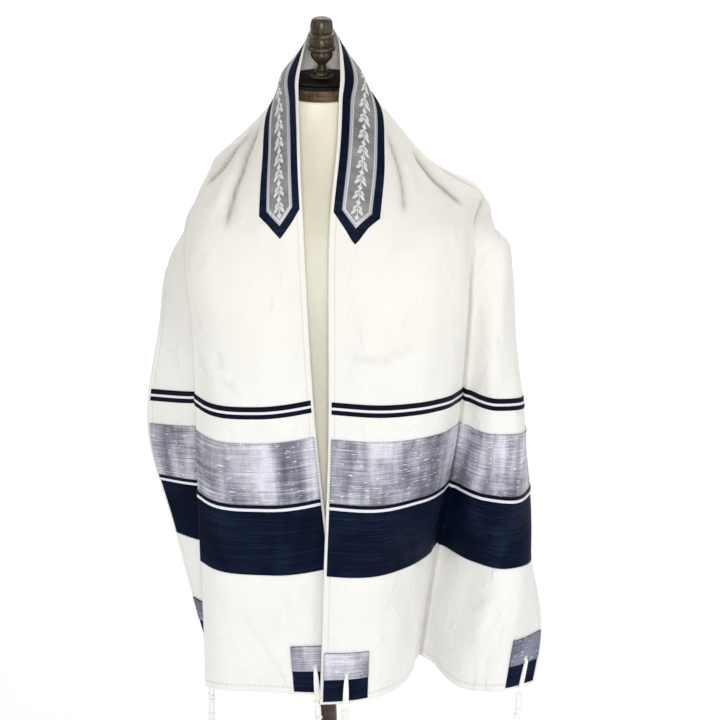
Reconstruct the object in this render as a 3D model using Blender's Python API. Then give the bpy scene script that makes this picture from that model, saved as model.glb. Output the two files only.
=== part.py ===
"""A tallit prayer shawl draped over a limbless dress form on a turned wooden stand.

The shawl is one rectangular cut, 2.0 m long and 0.6 m across. Its neck edge goes round the
back of the finial, its two ends hang open at the front. The drape is given by the sections
in DRAPE, one row for each line across the cut, with named columns for its folds.
Lengths in the tables are centimetres: X to the right, Y to the back, Z up from a level just
under the top of the finial. The model is in metres with +Z up and stands on the floor.
"""
import math

import bmesh
import bpy
import numpy as np

HEIGHT = 145.0          # floor to the level that the tables' heights start from, cm
WALL = 0.16             # thickness of the shawl's cloth, cm
# The cloth stays this far from the form's axis: height, then distance, cm.
NECK_CLEAR = ((-13.5, 6.0), (-6.8, 6.1), (-4.2, 2.6), (2.0, 2.6))
TURN = 1.0              # length of cloth each side of a fold that its turn takes up, cm
TURN_RADIUS = 0.45      # radius of a closed fold, cm
TURN_SHARE = 0.85       # how far along that length the turn's two knots lie
CHANGE = 18.0           # from here on each side the cloth follows its own folds, cm along the cut
SEAM = 0.03             # gap between a piece and what it lies on, cm
TRIM = 0.09             # thickness of a sewn-on piece, cm

# The cut: length from the centre back to each end, and its lines for the woven bands, cm.
END = 100.0
TRIPLE = (52.25, 54.1)
GREY = (57.8, 67.5)
THIN = (67.5, 68.6)
NAVY = (68.6, 79.0)
PATCH = (91.5, 95.9, 99.6)
ATARA_MIDDLE = 3.8

# The neck band's turns and points; the cloth hangs a little further down on the right.
ATARA_TURN = {-1: (25.9, 27.6, 29.3), 1: (28.1, 29.8, 31.5)}

ROWS = [34.5, 37.5, 41, 44.5, 48, 52.25, 54.1, 57.8, 60.2, 62.6, 65, 67.5, 68.6, 72, 75.5, 79,
        83, 87.5, 91.5, 95.9, 99.6, 100]
NECK_ROWS = {-1: [3, 6, 9, 12, 15, 18, 22, *ATARA_TURN[-1], 31.7],
             1: [3, 6, 9, 12, 15, 18, 21.5, 25, *ATARA_TURN[1]]}
COLS = [0, 0.4, 2.1, 3.8, 5.5, 7.2, 9.6, 12, 14.4, 16.6, 18.3, 19, 19.7, 21.8, 24.2, 26.4, 27,
        27.6, 29.8, 32.4, 35.2, 36, 36.8, 39.2, 41.8, 44.4, 47, 49.6, 52.8, 56.2, 59.6, 60]

# Distance across the cut of each named fold, on the wearer's right (L, left in the picture)
# and on the other side (R).
FOLDS = ("neck", "panel", "fold", "under", "tuck", "outer", "crest", "side", "far")
ACROSS_L = (0, 9.5, 19, 27.5, 36, 42, 48, 54, 60)
ACROSS_R = (0, 9.5, 19, 23, 27, 35, 43, 51.5, 60)

# One row per line across the cut: place along the cut, then X, Y, Z of each fold.
DRAPE = [
    (-100, (2.6, -12.2, -98.8), (-6.8, -13.4, -97.6), (-17.9, -10.4, -98.2), (-10.5, -9.8, -97.9),
     (-3.0, -8.6, -97.2), (-8.2, -6.8, -96.2), (-13.0, -6.2, -95.0), (-16.4, -6.0, -93.9),
     (-18.3, -5.0, -92.8)),
    (-79, (1.1, -12.4, -77.4), (-7.8, -13.8, -77.9), (-18.0, -10.2, -77.2), (-10.7, -11.6, -77.0),
     (-3.0, -10.6, -76.6), (-9.2, -9.4, -76.2), (-14.6, -8.4, -75.6), (-18.6, -7.2, -75.2),
     (-22.2, -5.4, -74.8)),
    (-58, (-0.9, -12.8, -56.5), (-9.0, -14.1, -57.2), (-18.1, -10.2, -56.5), (-10.9, -12.4, -56.6),
     (-3.4, -11.6, -55.8), (-9.0, -10.9, -55.9), (-14.5, -9.4, -56.4), (-20.3, -6.9, -57.4),
     (-25.9, -3.6, -58.4)),
    (-42, (-1.8, -13.0, -40.2), (-9.8, -14.0, -40.8), (-18.3, -9.8, -40.4), (-11.2, -12.3, -40.0),
     (-3.8, -11.9, -39.8), (-9.0, -11.0, -40.0), (-14.2, -9.4, -40.6), (-19.3, -6.4, -41.6),
     (-23.7, -2.6, -43.0)),
    (-30, (-2.3, -12.8, -27.6), (-10.4, -12.8, -27.8), (-18.9, -7.8, -28.2), (-12.8, -10.8, -27.9),
     (-6.2, -11.4, -27.8), (-11.0, -9.7, -28.1), (-15.8, -6.9, -28.8), (-20.4, -2.4, -31.0),
     (-22.8, 3.6, -36.5)),
    (-18, (-2.9, -9.4, -14.2), (-9.7, -7.4, -18.6), (-16.6, -3.2, -21.7), (-14.0, -3.9, -21.7),
     (-11.4, -4.2, -21.7), (-15.8, -0.4, -23.6), (-19.2, 3.0, -27.4), (-20.3, 6.4, -33.8),
     (-19.8, 9.2, -41.6)),
    (-9, (-2.8, -3.2, -5.5), (-8.2, 2.2, -12.6), (-13.2, 5.2, -19.8), (-13.4, 7.4, -22.6),
     (-12.8, 9.6, -26.0), (-12.9, 11.4, -32.0), (-13.1, 12.6, -38.4), (-13.0, 13.2, -45.0),
     (-12.8, 13.2, -51.6)),
    (0, (0, 2.9, 0.0), (0, 7.2, -9.6), (0, 11.6, -18.4), (0, 13.2, -23.8),
     (0, 14.2, -30.6), (0, 14.5, -37.2), (0, 14.6, -43.8), (0, 14.8, -50.4),
     (0, 14.9, -57.0)),
    (4.5, (2.2, 1.3, -1.3), (4.8, 5.8, -10.8), (6.2, 10.6, -18.8), (6.4, 12.2, -23.0),
     (6.4, 13.4, -27.4), (6.4, 14.2, -34.2), (6.5, 14.4, -41.2), (6.8, 14.4, -48.4),
     (7.1, 14.2, -56.2)),
    (9, (2.4, -3.2, -5.3), (8.6, 2.8, -12.2), (12.2, 8.4, -20.6), (12.8, 11.0, -25.0),
     (12.4, 11.4, -28.6), (12.0, 13.0, -35.4), (12.6, 13.8, -42.4), (13.8, 13.4, -49.0),
     (14.6, 12.2, -55.4)),
    (18, (2.3, -8.8, -12.8), (10.6, -6.2, -18.2), (17.8, -1.4, -21.4), (22.0, 0.6, -23.4),
     (24.0, 1.6, -26.4), (24.6, 5.0, -33.6), (24.4, 8.2, -41.4), (23.4, 10.8, -49.4),
     (22.6, 12.2, -57.2)),
    (30, (1.1, -13.0, -25.2), (10.0, -13.0, -25.8), (18.2, -9.4, -26.2), (20.6, -7.2, -26.7),
     (21.7, -4.8, -27.8), (25.4, -5.0, -29.4), (27.0, 0.5, -34.0), (27.6, 5.0, -41.6),
     (27.6, 8.0, -49.6)),
    (42, (0.9, -13.8, -40.2), (9.7, -14.2, -40.4), (17.6, -10.7, -40.8), (19.8, -7.8, -41.2),
     (20.9, -4.6, -41.8), (24.7, -7.0, -42.4), (27.6, -3.4, -43.8), (26.4, 3.2, -46.0),
     (19.8, 5.6, -49.5)),
    (58, (0.8, -14.2, -56.4), (9.4, -14.6, -56.6), (16.6, -11.0, -56.9), (18.6, -7.7, -57.5),
     (19.9, -4.2, -58.1), (24.5, -8.0, -58.3), (28.3, -7.0, -58.6), (29.4, -0.4, -59.6),
     (27.4, 6.6, -60.8)),
    (79, (0.0, -14.2, -77.8), (8.7, -14.1, -77.7), (14.0, -8.4, -78.2), (15.6, -5.2, -78.5),
     (17.0, -1.8, -78.6), (21.8, -8.4, -78.3), (26.2, -10.9, -78.3), (29.6, -9.2, -78.6),
     (30.7, -2.6, -79.2)),
    (91.5, (-0.4, -14.2, -90.5), (8.4, -13.8, -89.9), (12.8, -8.3, -90.4), (14.2, -4.6, -90.7),
     (15.6, -0.5, -90.9), (19.4, -7.6, -90.3), (23.2, -12.0, -89.7), (27.0, -12.5, -89.5),
     (32.6, -7.7, -90.0)),
    (100, (-0.7, -14.2, -99.2), (8.2, -13.6, -98.2), (12.0, -8.6, -98.7), (13.3, -4.4, -99.0),
     (14.7, 0.4, -99.2), (18.2, -7.0, -98.6), (21.9, -12.4, -97.8), (26.0, -13.4, -97.4),
     (31.4, -10.3, -97.7)),
]

# The form's body: height, half width, half depth, middle in Y, cm. Its sections are a little
# squarer than an ellipse, whose power is 2.
BODY_POWER = 2.3
TORSO = [
    (-9.98, 4.9, 4.9, 0.0), (-13.0, 5.0, 4.95, 0.0), (-16.5, 5.8, 5.4, 0.2), (-19.5, 7.0, 5.9, 0.3),
    (-21.8, 9.76, 6.95, 0.3), (-23.6, 12.79, 7.95, 0.3), (-25.4, 15.58, 8.86, 0.2),
    (-27.6, 17.5, 9.86, 0.1), (-30.6, 18.0, 10.36, 0.1), (-35.0, 17.4, 10.4, 0.0),
    (-41.0, 15.9, 9.7, 0.1), (-48.0, 14.2, 8.9, 0.2), (-55.0, 13.4, 8.6, 0.3),
    (-62.0, 14.2, 9.1, 0.3), (-69.0, 15.2, 9.6, 0.4), (-75.0, 15.6, 10.38, 0.4),
    (-79.0, 14.8, 9.7, 0.4), (-81.0, 12.6, 8.0, 0.4), (-81.8, 8.0, 5.0, 0.3),
]
NECK_RING = [(-9.95, 4.6), (-9.95, 5.0), (-9.5, 5.15), (-8.75, 5.15), (-8.3, 5.0), (-8.3, 4.6)]
NECK_CAP = [(-8.27, 5.05), (-8.1, 5.25), (-7.9, 5.25), (-7.75, 5.1), (-7.55, 5.1), (-7.4, 4.9)]
FINIAL = [
    (-7.37, 1.7), (-7.1, 1.6), (-6.8, 1.3), (-6.5, 0.9), (-6.3, 0.7), (-5.8, 0.65), (-5.4, 0.95),
    (-4.9, 1.4), (-4.3, 1.55), (-3.9, 1.55), (-3.6, 1.8), (-3.2, 1.8), (-2.9, 1.6), (-2.3, 1.65),
    (-1.8, 1.6), (-1.6, 1.85), (-1.25, 1.85), (-1.0, 1.65), (-0.4, 1.75), (0.2, 1.6),
    (0.7, 1.1), (0.9, 0.45),
]
POLE = [
    (-81.83, 2.6), (-82.6, 2.6), (-83.4, 2.1), (-85.5, 2.5), (-89.0, 3.0), (-93.0, 2.8),
    (-97.0, 2.1), (-100.0, 1.7), (-101.0, 2.3), (-102.0, 2.3), (-103.0, 1.6), (-118.0, 1.75),
    (-133.0, 1.9), (-135.0, 2.7), (-136.5, 2.9), (-138.5, 2.2), (-139.97, 2.4),
]
BASE = [(-140.0, 5.0), (-140.6, 5.6), (-141.4, 6.2), (-142.2, 13.4), (-143.0, 15.4), (-144.0, 16.4),
        (-145.0, 16.4)]


# Each fringe below the hem: depth, half width, half depth; then the free strands' depth and spread.
HOLE_NEAR, HOLE_FAR = 3.8, 56.2
STRANDS = 8
WOUND = [(0.9, 0.25, 0.18), (1.4, 0.48, 0.42), (2.0, 0.60, 0.55), (2.7, 0.42, 0.42),
         (10.8, 0.42, 0.42), (11.4, 0.58, 0.56), (12.2, 0.5, 0.5)]
STRAND = [(0.0, 0.0), (3.0, 0.85), (10.0, 1.35), (17.0, 1.6)]
STRAND_WIDTH = 0.6      # of the root that each strand grows out of
STRAND_DRIFT = 0.25     # how far a strand wanders sideways, cm


def metres(points):
    """Points of the tables, in centimetres, as metres above the floor."""
    p = np.asarray(points, float)
    return (p + np.array([0.0, 0.0, HEIGHT])) / 100.0


def curve(x, y, at):
    """Smooth line through points y that belong to places x, read at the places at.

    The line's own parameter is its length along the chords, so it never loops between knots.
    """
    x, y, at = np.asarray(x, float), np.asarray(y, float), np.asarray(at, float)
    step = np.maximum(np.linalg.norm(np.diff(y, axis=0), axis=1), 1e-3)
    run = np.concatenate([[0.0], np.cumsum(step)])
    chord = np.diff(y, axis=0) / step[:, None]
    before, after = step[:-1, None], step[1:, None]
    m = np.empty_like(y)
    m[1:-1] = (chord[:-1] * after + chord[1:] * before) / (before + after)
    m[0] = 1.5 * chord[0] - 0.5 * m[1]
    m[-1] = 1.5 * chord[-1] - 0.5 * m[-2]
    s = np.interp(at, x, run)
    k = np.clip(np.searchsorted(run, s, side="right") - 1, 0, len(x) - 2)
    h = step[k][:, None]
    t = ((s - run[k]) / step[k])[:, None]
    return ((1 + 2 * t) * (1 - t) ** 2 * y[k] + t * (1 - t) ** 2 * h * m[k]
            + t * t * (3 - 2 * t) * y[k + 1] + t * t * (t - 1) * h * m[k + 1])


def pressed(across, points):
    """Adds a knot on each side of the fold and of the tuck, so the cloth turns closely there."""
    places, knots = [across], [points]
    for name, always in (("fold", False), ("tuck", True)):
        k = FOLDS.index(name)
        before, after = points[k - 1] - points[k], points[k + 1] - points[k]
        before, after = before / np.linalg.norm(before), after / np.linalg.norm(after)
        closed = max(0.0, float(before @ after))
        share = 1.0 if always else closed
        apart = before - after
        apart /= np.linalg.norm(apart)
        for sign, way in ((-1, before), (1, after)):
            place = across[k] + sign * TURN
            tight = points[k] + way * TURN * TURN_SHARE - sign * apart * closed * TURN_RADIUS
            smooth = curve(across, points, [place])[0]
            places.append([place])
            knots.append([share * tight + (1 - share) * smooth])
    places, knots = np.concatenate(places), np.concatenate(knots)
    order = np.argsort(places)
    return places[order], knots[order]


def middle(u, v):
    """Middle surface of the draped cloth, cm, as an array of shape (rows, columns, 3)."""
    along = np.array([row[0] for row in DRAPE], float)
    folds = np.array([row[1:] for row in DRAPE], float)
    out = np.empty((len(u), len(v), 3))
    flat = np.stack([curve(along, folds[:, k], u) for k in range(len(FOLDS))], axis=1)
    side = np.clip(np.asarray(u) / CHANGE * 0.5 + 0.5, 0.0, 1.0)
    for i, share in enumerate(side):
        across = (1 - share) * np.array(ACROSS_L, float) + share * np.array(ACROSS_R, float)
        out[i] = curve(*pressed(across, flat[i]), v)
    near = np.hypot(out[..., 0], out[..., 1])
    height, clear = np.array(NECK_CLEAR).T
    wide = np.where(out[..., 2] > height[0],
                    np.maximum(1.0, np.interp(out[..., 2], height, clear) / near), 1.0)
    out[..., :2] *= wide[..., None]
    return out


def normals(p):
    """Unit normals of a grid of points, on the side that shows."""
    du = np.gradient(p, axis=0)
    dv = np.gradient(p, axis=1)
    n = np.cross(du, dv)
    return n / np.linalg.norm(n, axis=2, keepdims=True)


U = np.array([-r for r in (NECK_ROWS[-1] + ROWS)[::-1]] + [0] + NECK_ROWS[1] + ROWS, float)
V = np.array(COLS, float)
MIDDLE = middle(U, V)
NORMAL = normals(MIDDLE)


def row_of(u):
    return int(np.argmin(np.abs(U - u)))


def col_of(v):
    return int(np.argmin(np.abs(V - v)))


def collection():
    """An empty scene and the object's own collection."""
    for obj in list(bpy.data.objects):
        bpy.data.objects.remove(obj, do_unlink=True)
    made = bpy.data.collections.new("tallit_on_dress_form")
    bpy.context.scene.collection.children.link(made)
    return made


ROOM = collection()


def material(name, colour, roughness, metallic=0.0):
    mat = bpy.data.materials.new(name)
    mat.use_nodes = True
    shader = mat.node_tree.nodes["Principled BSDF"]
    shader.inputs["Base Color"].default_value = (*colour, 1.0)
    shader.inputs["Roughness"].default_value = roughness
    shader.inputs["Metallic"].default_value = metallic
    mat.diffuse_color = (*colour, 1.0)
    return mat


LOOKS = {
    "ivory": ((0.86, 0.84, 0.78), 0.75), "navy": ((0.012, 0.018, 0.07), 0.55),
    "silver": ((0.36, 0.36, 0.39), 0.45), "thread": ((0.88, 0.87, 0.83), 0.8),
    "linen": ((0.80, 0.77, 0.66), 0.85), "wood": ((0.12, 0.065, 0.04), 0.4),
    "bronze": ((0.10, 0.06, 0.045), 0.35), "black": ((0.015, 0.015, 0.017), 0.5),
}


def node(name, points, faces, look, smooth=True):
    """A named closed solid from points in centimetres."""
    mesh = bpy.data.meshes.new(name)
    mesh.from_pydata([tuple(p) for p in metres(points)], [], faces)
    bm = bmesh.new()
    bm.from_mesh(mesh)
    bmesh.ops.recalc_face_normals(bm, faces=bm.faces)
    if bm.calc_volume(signed=True) < 0:
        bmesh.ops.reverse_faces(bm, faces=bm.faces)
    bm.to_mesh(mesh)
    bm.free()
    for face in mesh.polygons:
        face.use_smooth = smooth
    mesh.materials.append(material(f"{name}_{look}", *LOOKS[look]))
    obj = bpy.data.objects.new(name, mesh)
    ROOM.objects.link(obj)
    return obj


def split(i, j):
    """The two triangles of a grid cell; the diagonals lean the way the atara's points need."""
    a, b, c, d = (i, j), (i + 1, j), (i + 1, j + 1), (i, j + 1)
    if (U[i] >= 0) == (V[j] < ATARA_MIDDLE):
        return [(a, b, c), (a, c, d)]
    return [(a, b, d), (b, c, d)]


def sheet(name, triangles, low, high, look):
    """Both faces and the rim of a sheet made of triangles of grid corners."""
    keys = sorted({k for tri in triangles for k in tri})
    index = {k: n for n, k in enumerate(keys)}
    count = len(keys)
    points = [MIDDLE[k] + NORMAL[k] * low for k in keys]
    points += [MIDDLE[k] + NORMAL[k] * high for k in keys]
    faces, edges = [], {}
    for tri in triangles:
        ids = [index[k] for k in tri]
        faces.append(tuple(n + count for n in ids))
        faces.append(tuple(reversed(ids)))
        for n, m in zip(ids, ids[1:] + ids[:1]):
            if (m, n) in edges:
                del edges[(m, n)]
            else:
                edges[(n, m)] = True
    for n, m in edges:
        faces.append((n, m, m + count, n + count))
    return node(name, points, faces, look)


def cells(rows, cols):
    """Grid triangles between two row places and two column places."""
    r0, r1 = sorted((row_of(rows[0]), row_of(rows[1])))
    c0, c1 = sorted((col_of(cols[0]), col_of(cols[1])))
    out = []
    for i in range(r0, r1):
        for j in range(c0, c1):
            out += split(i, j)
    return out


def turned(name, outline, look, steps=24):
    """A solid turned on the form's axis from an outline of heights and radii."""
    points, faces = [], []
    for z, r in outline:
        for k in range(steps):
            a = 2 * math.pi * k / steps
            points.append((r * math.cos(a), r * math.sin(a), z))
    rings = len(outline)
    for i in range(rings - 1):
        for k in range(steps):
            n = (k + 1) % steps
            faces.append((i * steps + k, i * steps + n, (i + 1) * steps + n, (i + 1) * steps + k))
    faces.append(tuple(range(steps)))
    faces.append(tuple((rings - 1) * steps + k for k in reversed(range(steps))))
    return node(name, points, faces, look)


def torso(steps=22):
    """The padded body of the form, a limbless torso closed at the neck and below the hips."""
    points, faces = [], []
    for z, half_x, half_y, mid in TORSO:
        for k in range(steps):
            a = 2 * math.pi * k / steps
            c, s = math.cos(a), math.sin(a)
            squash = (abs(c) ** BODY_POWER + abs(s) ** BODY_POWER) ** (-1 / BODY_POWER)
            points.append((half_x * squash * c, mid + half_y * squash * s, z))
    rings = len(TORSO)
    for i in range(rings - 1):
        for k in range(steps):
            n = (k + 1) % steps
            faces.append((i * steps + k, i * steps + n, (i + 1) * steps + n, (i + 1) * steps + k))
    faces.append(tuple(range(steps)))
    faces.append(tuple((rings - 1) * steps + k for k in reversed(range(steps))))
    return node("torso", points, faces, "linen")


def atara():
    """The neck band: a navy strip with pointed ends and a grey strip on it."""
    low = WALL / 2 + SEAM
    for name, cols, end, look, floor in (
            ("atara_border", (0.4, 7.2), 2, "navy", low),
            ("atara_ground", (2.1, 5.5), 1, "silver", low + TRIM + SEAM)):
        tris = cells((-ATARA_TURN[-1][0], ATARA_TURN[1][0]), cols)
        for side, turns in ATARA_TURN.items():
            tris += point_of(side, cols, turns[0], turns[end])
        sheet(name, tris, floor, floor + TRIM, look)


def point_of(side, cols, base, tip):
    """Triangles of a pointed end, stepping one column inward for each row outward."""
    out = []
    lo, hi = col_of(cols[0]), col_of(cols[1])
    i = row_of(side * base)
    while i != row_of(side * tip):
        cell = i if side > 0 else i - 1
        for j in range(lo, hi):
            tris = split(cell, j)
            if j in (lo, hi - 1):
                corner = (i + side, lo if j == lo else hi)
                tris = [t for t in tris if corner not in t]
            out += tris
        lo, hi, i = lo + 1, hi - 1, i + side
    return out


def trims():
    """Bands, ribbons and corner patches, each lying on the cloth's outer face."""
    low = WALL / 2 + SEAM
    for side, tag in ((-1, "left"), (1, "right")):
        for name, rows, look in (("triple_ribbon", TRIPLE, "navy"), ("grey_band", GREY, "silver"),
                                 ("navy_band", NAVY, "navy")):
            sheet(f"{name}_{tag}", cells((side * rows[0], side * rows[1]), (0.4, 59.6)),
                  low, low + TRIM, look)
        thin = cells((side * THIN[0], side * THIN[1]), (0.4, 59.6))
        sheet(f"thin_ribbon_{tag}", thin, low + TRIM + SEAM, low + 2 * TRIM + SEAM, "thread")
        for place, cols in (("near", (0.4, 7.2)), ("far", (52.8, 59.6))):
            sheet(f"patch_navy_{tag}_{place}", cells((side * PATCH[0], side * PATCH[2]), cols),
                  low, low + TRIM, "navy")
            sheet(f"patch_grey_{tag}_{place}", cells((side * PATCH[0], side * PATCH[1]), cols),
                  low + TRIM + SEAM, low + 2 * TRIM + SEAM, "silver")


def tzitzit(name, side, hole):
    """A corner fringe: cords out of the hole, knots, a wound length and eight free strands."""
    rows = [row_of(side * u) for u in (PATCH[1], PATCH[2], END)]
    col = col_of(hole)
    top, low, hem = (MIDDLE[r, col] for r in rows)
    out = NORMAL[rows[1], col] * np.array([1.0, 1.0, 0.0])
    out /= np.linalg.norm(out)
    across = np.array([out[1], -out[0], 0.0])
    down = np.array([0.0, 0.0, -1.0])
    face = WALL / 2 + 3 * SEAM + 2 * TRIM
    middle_at = 0.5 * (top + low)
    rings = [(top + out * (face + 0.11), 0.26, 0.10), (middle_at + out * (face + 0.13), 0.27, 0.10),
             (low + out * (face + 0.13), 0.27, 0.10)]
    rings += [(hem + out * 0.3 + down * d, w, t) for d, w, t in WOUND]
    points, faces = [], []
    for centre, w, t in rings:
        for k in range(STRANDS):
            a = 2 * math.pi * (k + 0.5) / STRANDS
            points.append(centre + across * w * math.cos(a) + out * t * math.sin(a))
    n = STRANDS
    faces.append(tuple(range(n)))
    for i in range(len(rings) - 1):
        for k in range(n):
            m = (k + 1) % n
            faces.append((i * n + k, i * n + m, (i + 1) * n + m, (i + 1) * n + k))
    last = (len(rings) - 1) * n
    end = rings[-1][0]
    hub = len(points)
    points.append(end)
    for k in range(n):
        m = (k + 1) % n
        root = [hub, last + k, last + m]
        middle_at = (points[root[0]] + points[root[1]] + points[root[2]]) / 3
        way = middle_at - end
        way /= np.linalg.norm(way)
        rim = [middle_at + (points[r] - middle_at) * STRAND_WIDTH for r in root]
        ring = root
        for step, (d, spread) in enumerate(STRAND):
            drift = STRAND_DRIFT * math.sin(2.1 * k + 0.9 * step)
            at = end + way * spread + np.array([drift * way[1], -drift * way[0], 0]) + down * d
            new = [p - middle_at + at for p in rim] if step else [p + down * 0.02 for p in rim]
            base = len(points)
            points += new
            new = [base, base + 1, base + 2]
            for a, b in ((0, 1), (1, 2), (2, 0)):
                faces.append((ring[a], ring[b], new[b], new[a]))
            ring = new
        faces.append(tuple(ring))
    node(name, points, faces, "thread")


def shawl():
    sheet("shawl", cells((-END, END), (0, 60)), -WALL / 2, WALL / 2, "ivory")


def main():
    shawl()
    trims()
    atara()
    torso()
    turned("neck_ring", NECK_RING, "wood")
    turned("neck_cap", NECK_CAP, "black")
    turned("finial", FINIAL, "bronze", 20)
    turned("pole", POLE, "wood", 20)
    turned("base", BASE, "wood", 28)
    for side, tag in ((-1, "left"), (1, "right")):
        tzitzit(f"tzitzit_{tag}_near", side, HOLE_NEAR)
        tzitzit(f"tzitzit_{tag}_far", side, HOLE_FAR)


main()
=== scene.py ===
"""Looks for a tallit prayer shawl draped over a limbless dress form on a turned wooden stand.

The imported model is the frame, and each piece below stands where its solid stands. Lengths in the
tables are centimetres: X to the right, Y to the back, Z up from a level just under the finial's
top. Places on the cut cloth are u, along it from the centre back, and v, across it from the neck
edge.
"""

import bpy
import numpy as np
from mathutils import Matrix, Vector


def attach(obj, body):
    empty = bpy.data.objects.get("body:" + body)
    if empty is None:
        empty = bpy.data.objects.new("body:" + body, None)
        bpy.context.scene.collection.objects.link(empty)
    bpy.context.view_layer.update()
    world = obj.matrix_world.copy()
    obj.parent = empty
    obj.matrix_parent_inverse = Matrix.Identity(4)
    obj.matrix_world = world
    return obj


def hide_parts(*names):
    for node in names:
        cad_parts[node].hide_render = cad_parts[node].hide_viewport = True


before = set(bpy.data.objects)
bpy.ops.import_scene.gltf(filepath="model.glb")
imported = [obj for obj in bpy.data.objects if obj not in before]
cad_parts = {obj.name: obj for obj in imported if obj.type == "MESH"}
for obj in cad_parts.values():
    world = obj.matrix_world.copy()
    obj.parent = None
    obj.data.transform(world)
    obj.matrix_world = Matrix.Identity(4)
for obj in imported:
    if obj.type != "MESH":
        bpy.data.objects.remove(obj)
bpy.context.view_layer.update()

# The shawl is one rectangle of fine ivory wool, 200 x 60 cm, hemmed at both ends. Its neck edge
# goes round the back of the finial, its long sides fold over themselves below the shoulders, and
# its two ends hang open at the front. Every sewn piece below is laid on this same surface.
HEIGHT = 145.0
END, WIDTH = 100.0, 60.0
WALL = 0.16
NECK_CLEAR = ((-13.5, 6.0), (-6.8, 6.1), (-4.2, 2.6), (2.0, 2.6))
TURN, TURN_RADIUS, TURN_SHARE = 1.0, 0.45, 0.85
CHANGE = 18.0
HEM, SELVAGE = 0.85, 0.32
# The grid's lines along and across the cut, closer together where the shoulders fold, and how
# often they are smoothed.
LINES_ALONG, LINES_ACROSS = 281, 156
SHOULDERS_ALONG, SHOULDERS_ACROSS = (11.0, 31.0), (6.0, 26.0)
SMOOTHED_ALONG, SMOOTHED_ACROSS = 40, 8
# No relief this near to a closed fold, and all of it this much farther off.
CLOSED_NEAR, CLOSED_OVER = 1.2, 2.5

FOLDS = ("neck", "panel", "fold", "under", "tuck", "outer", "crest", "side", "far")
ACROSS_L = (0, 9.5, 19, 27.5, 36, 42, 48, 54, 60)
ACROSS_R = (0, 9.5, 19, 23, 27, 35, 43, 51.5, 60)

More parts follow.
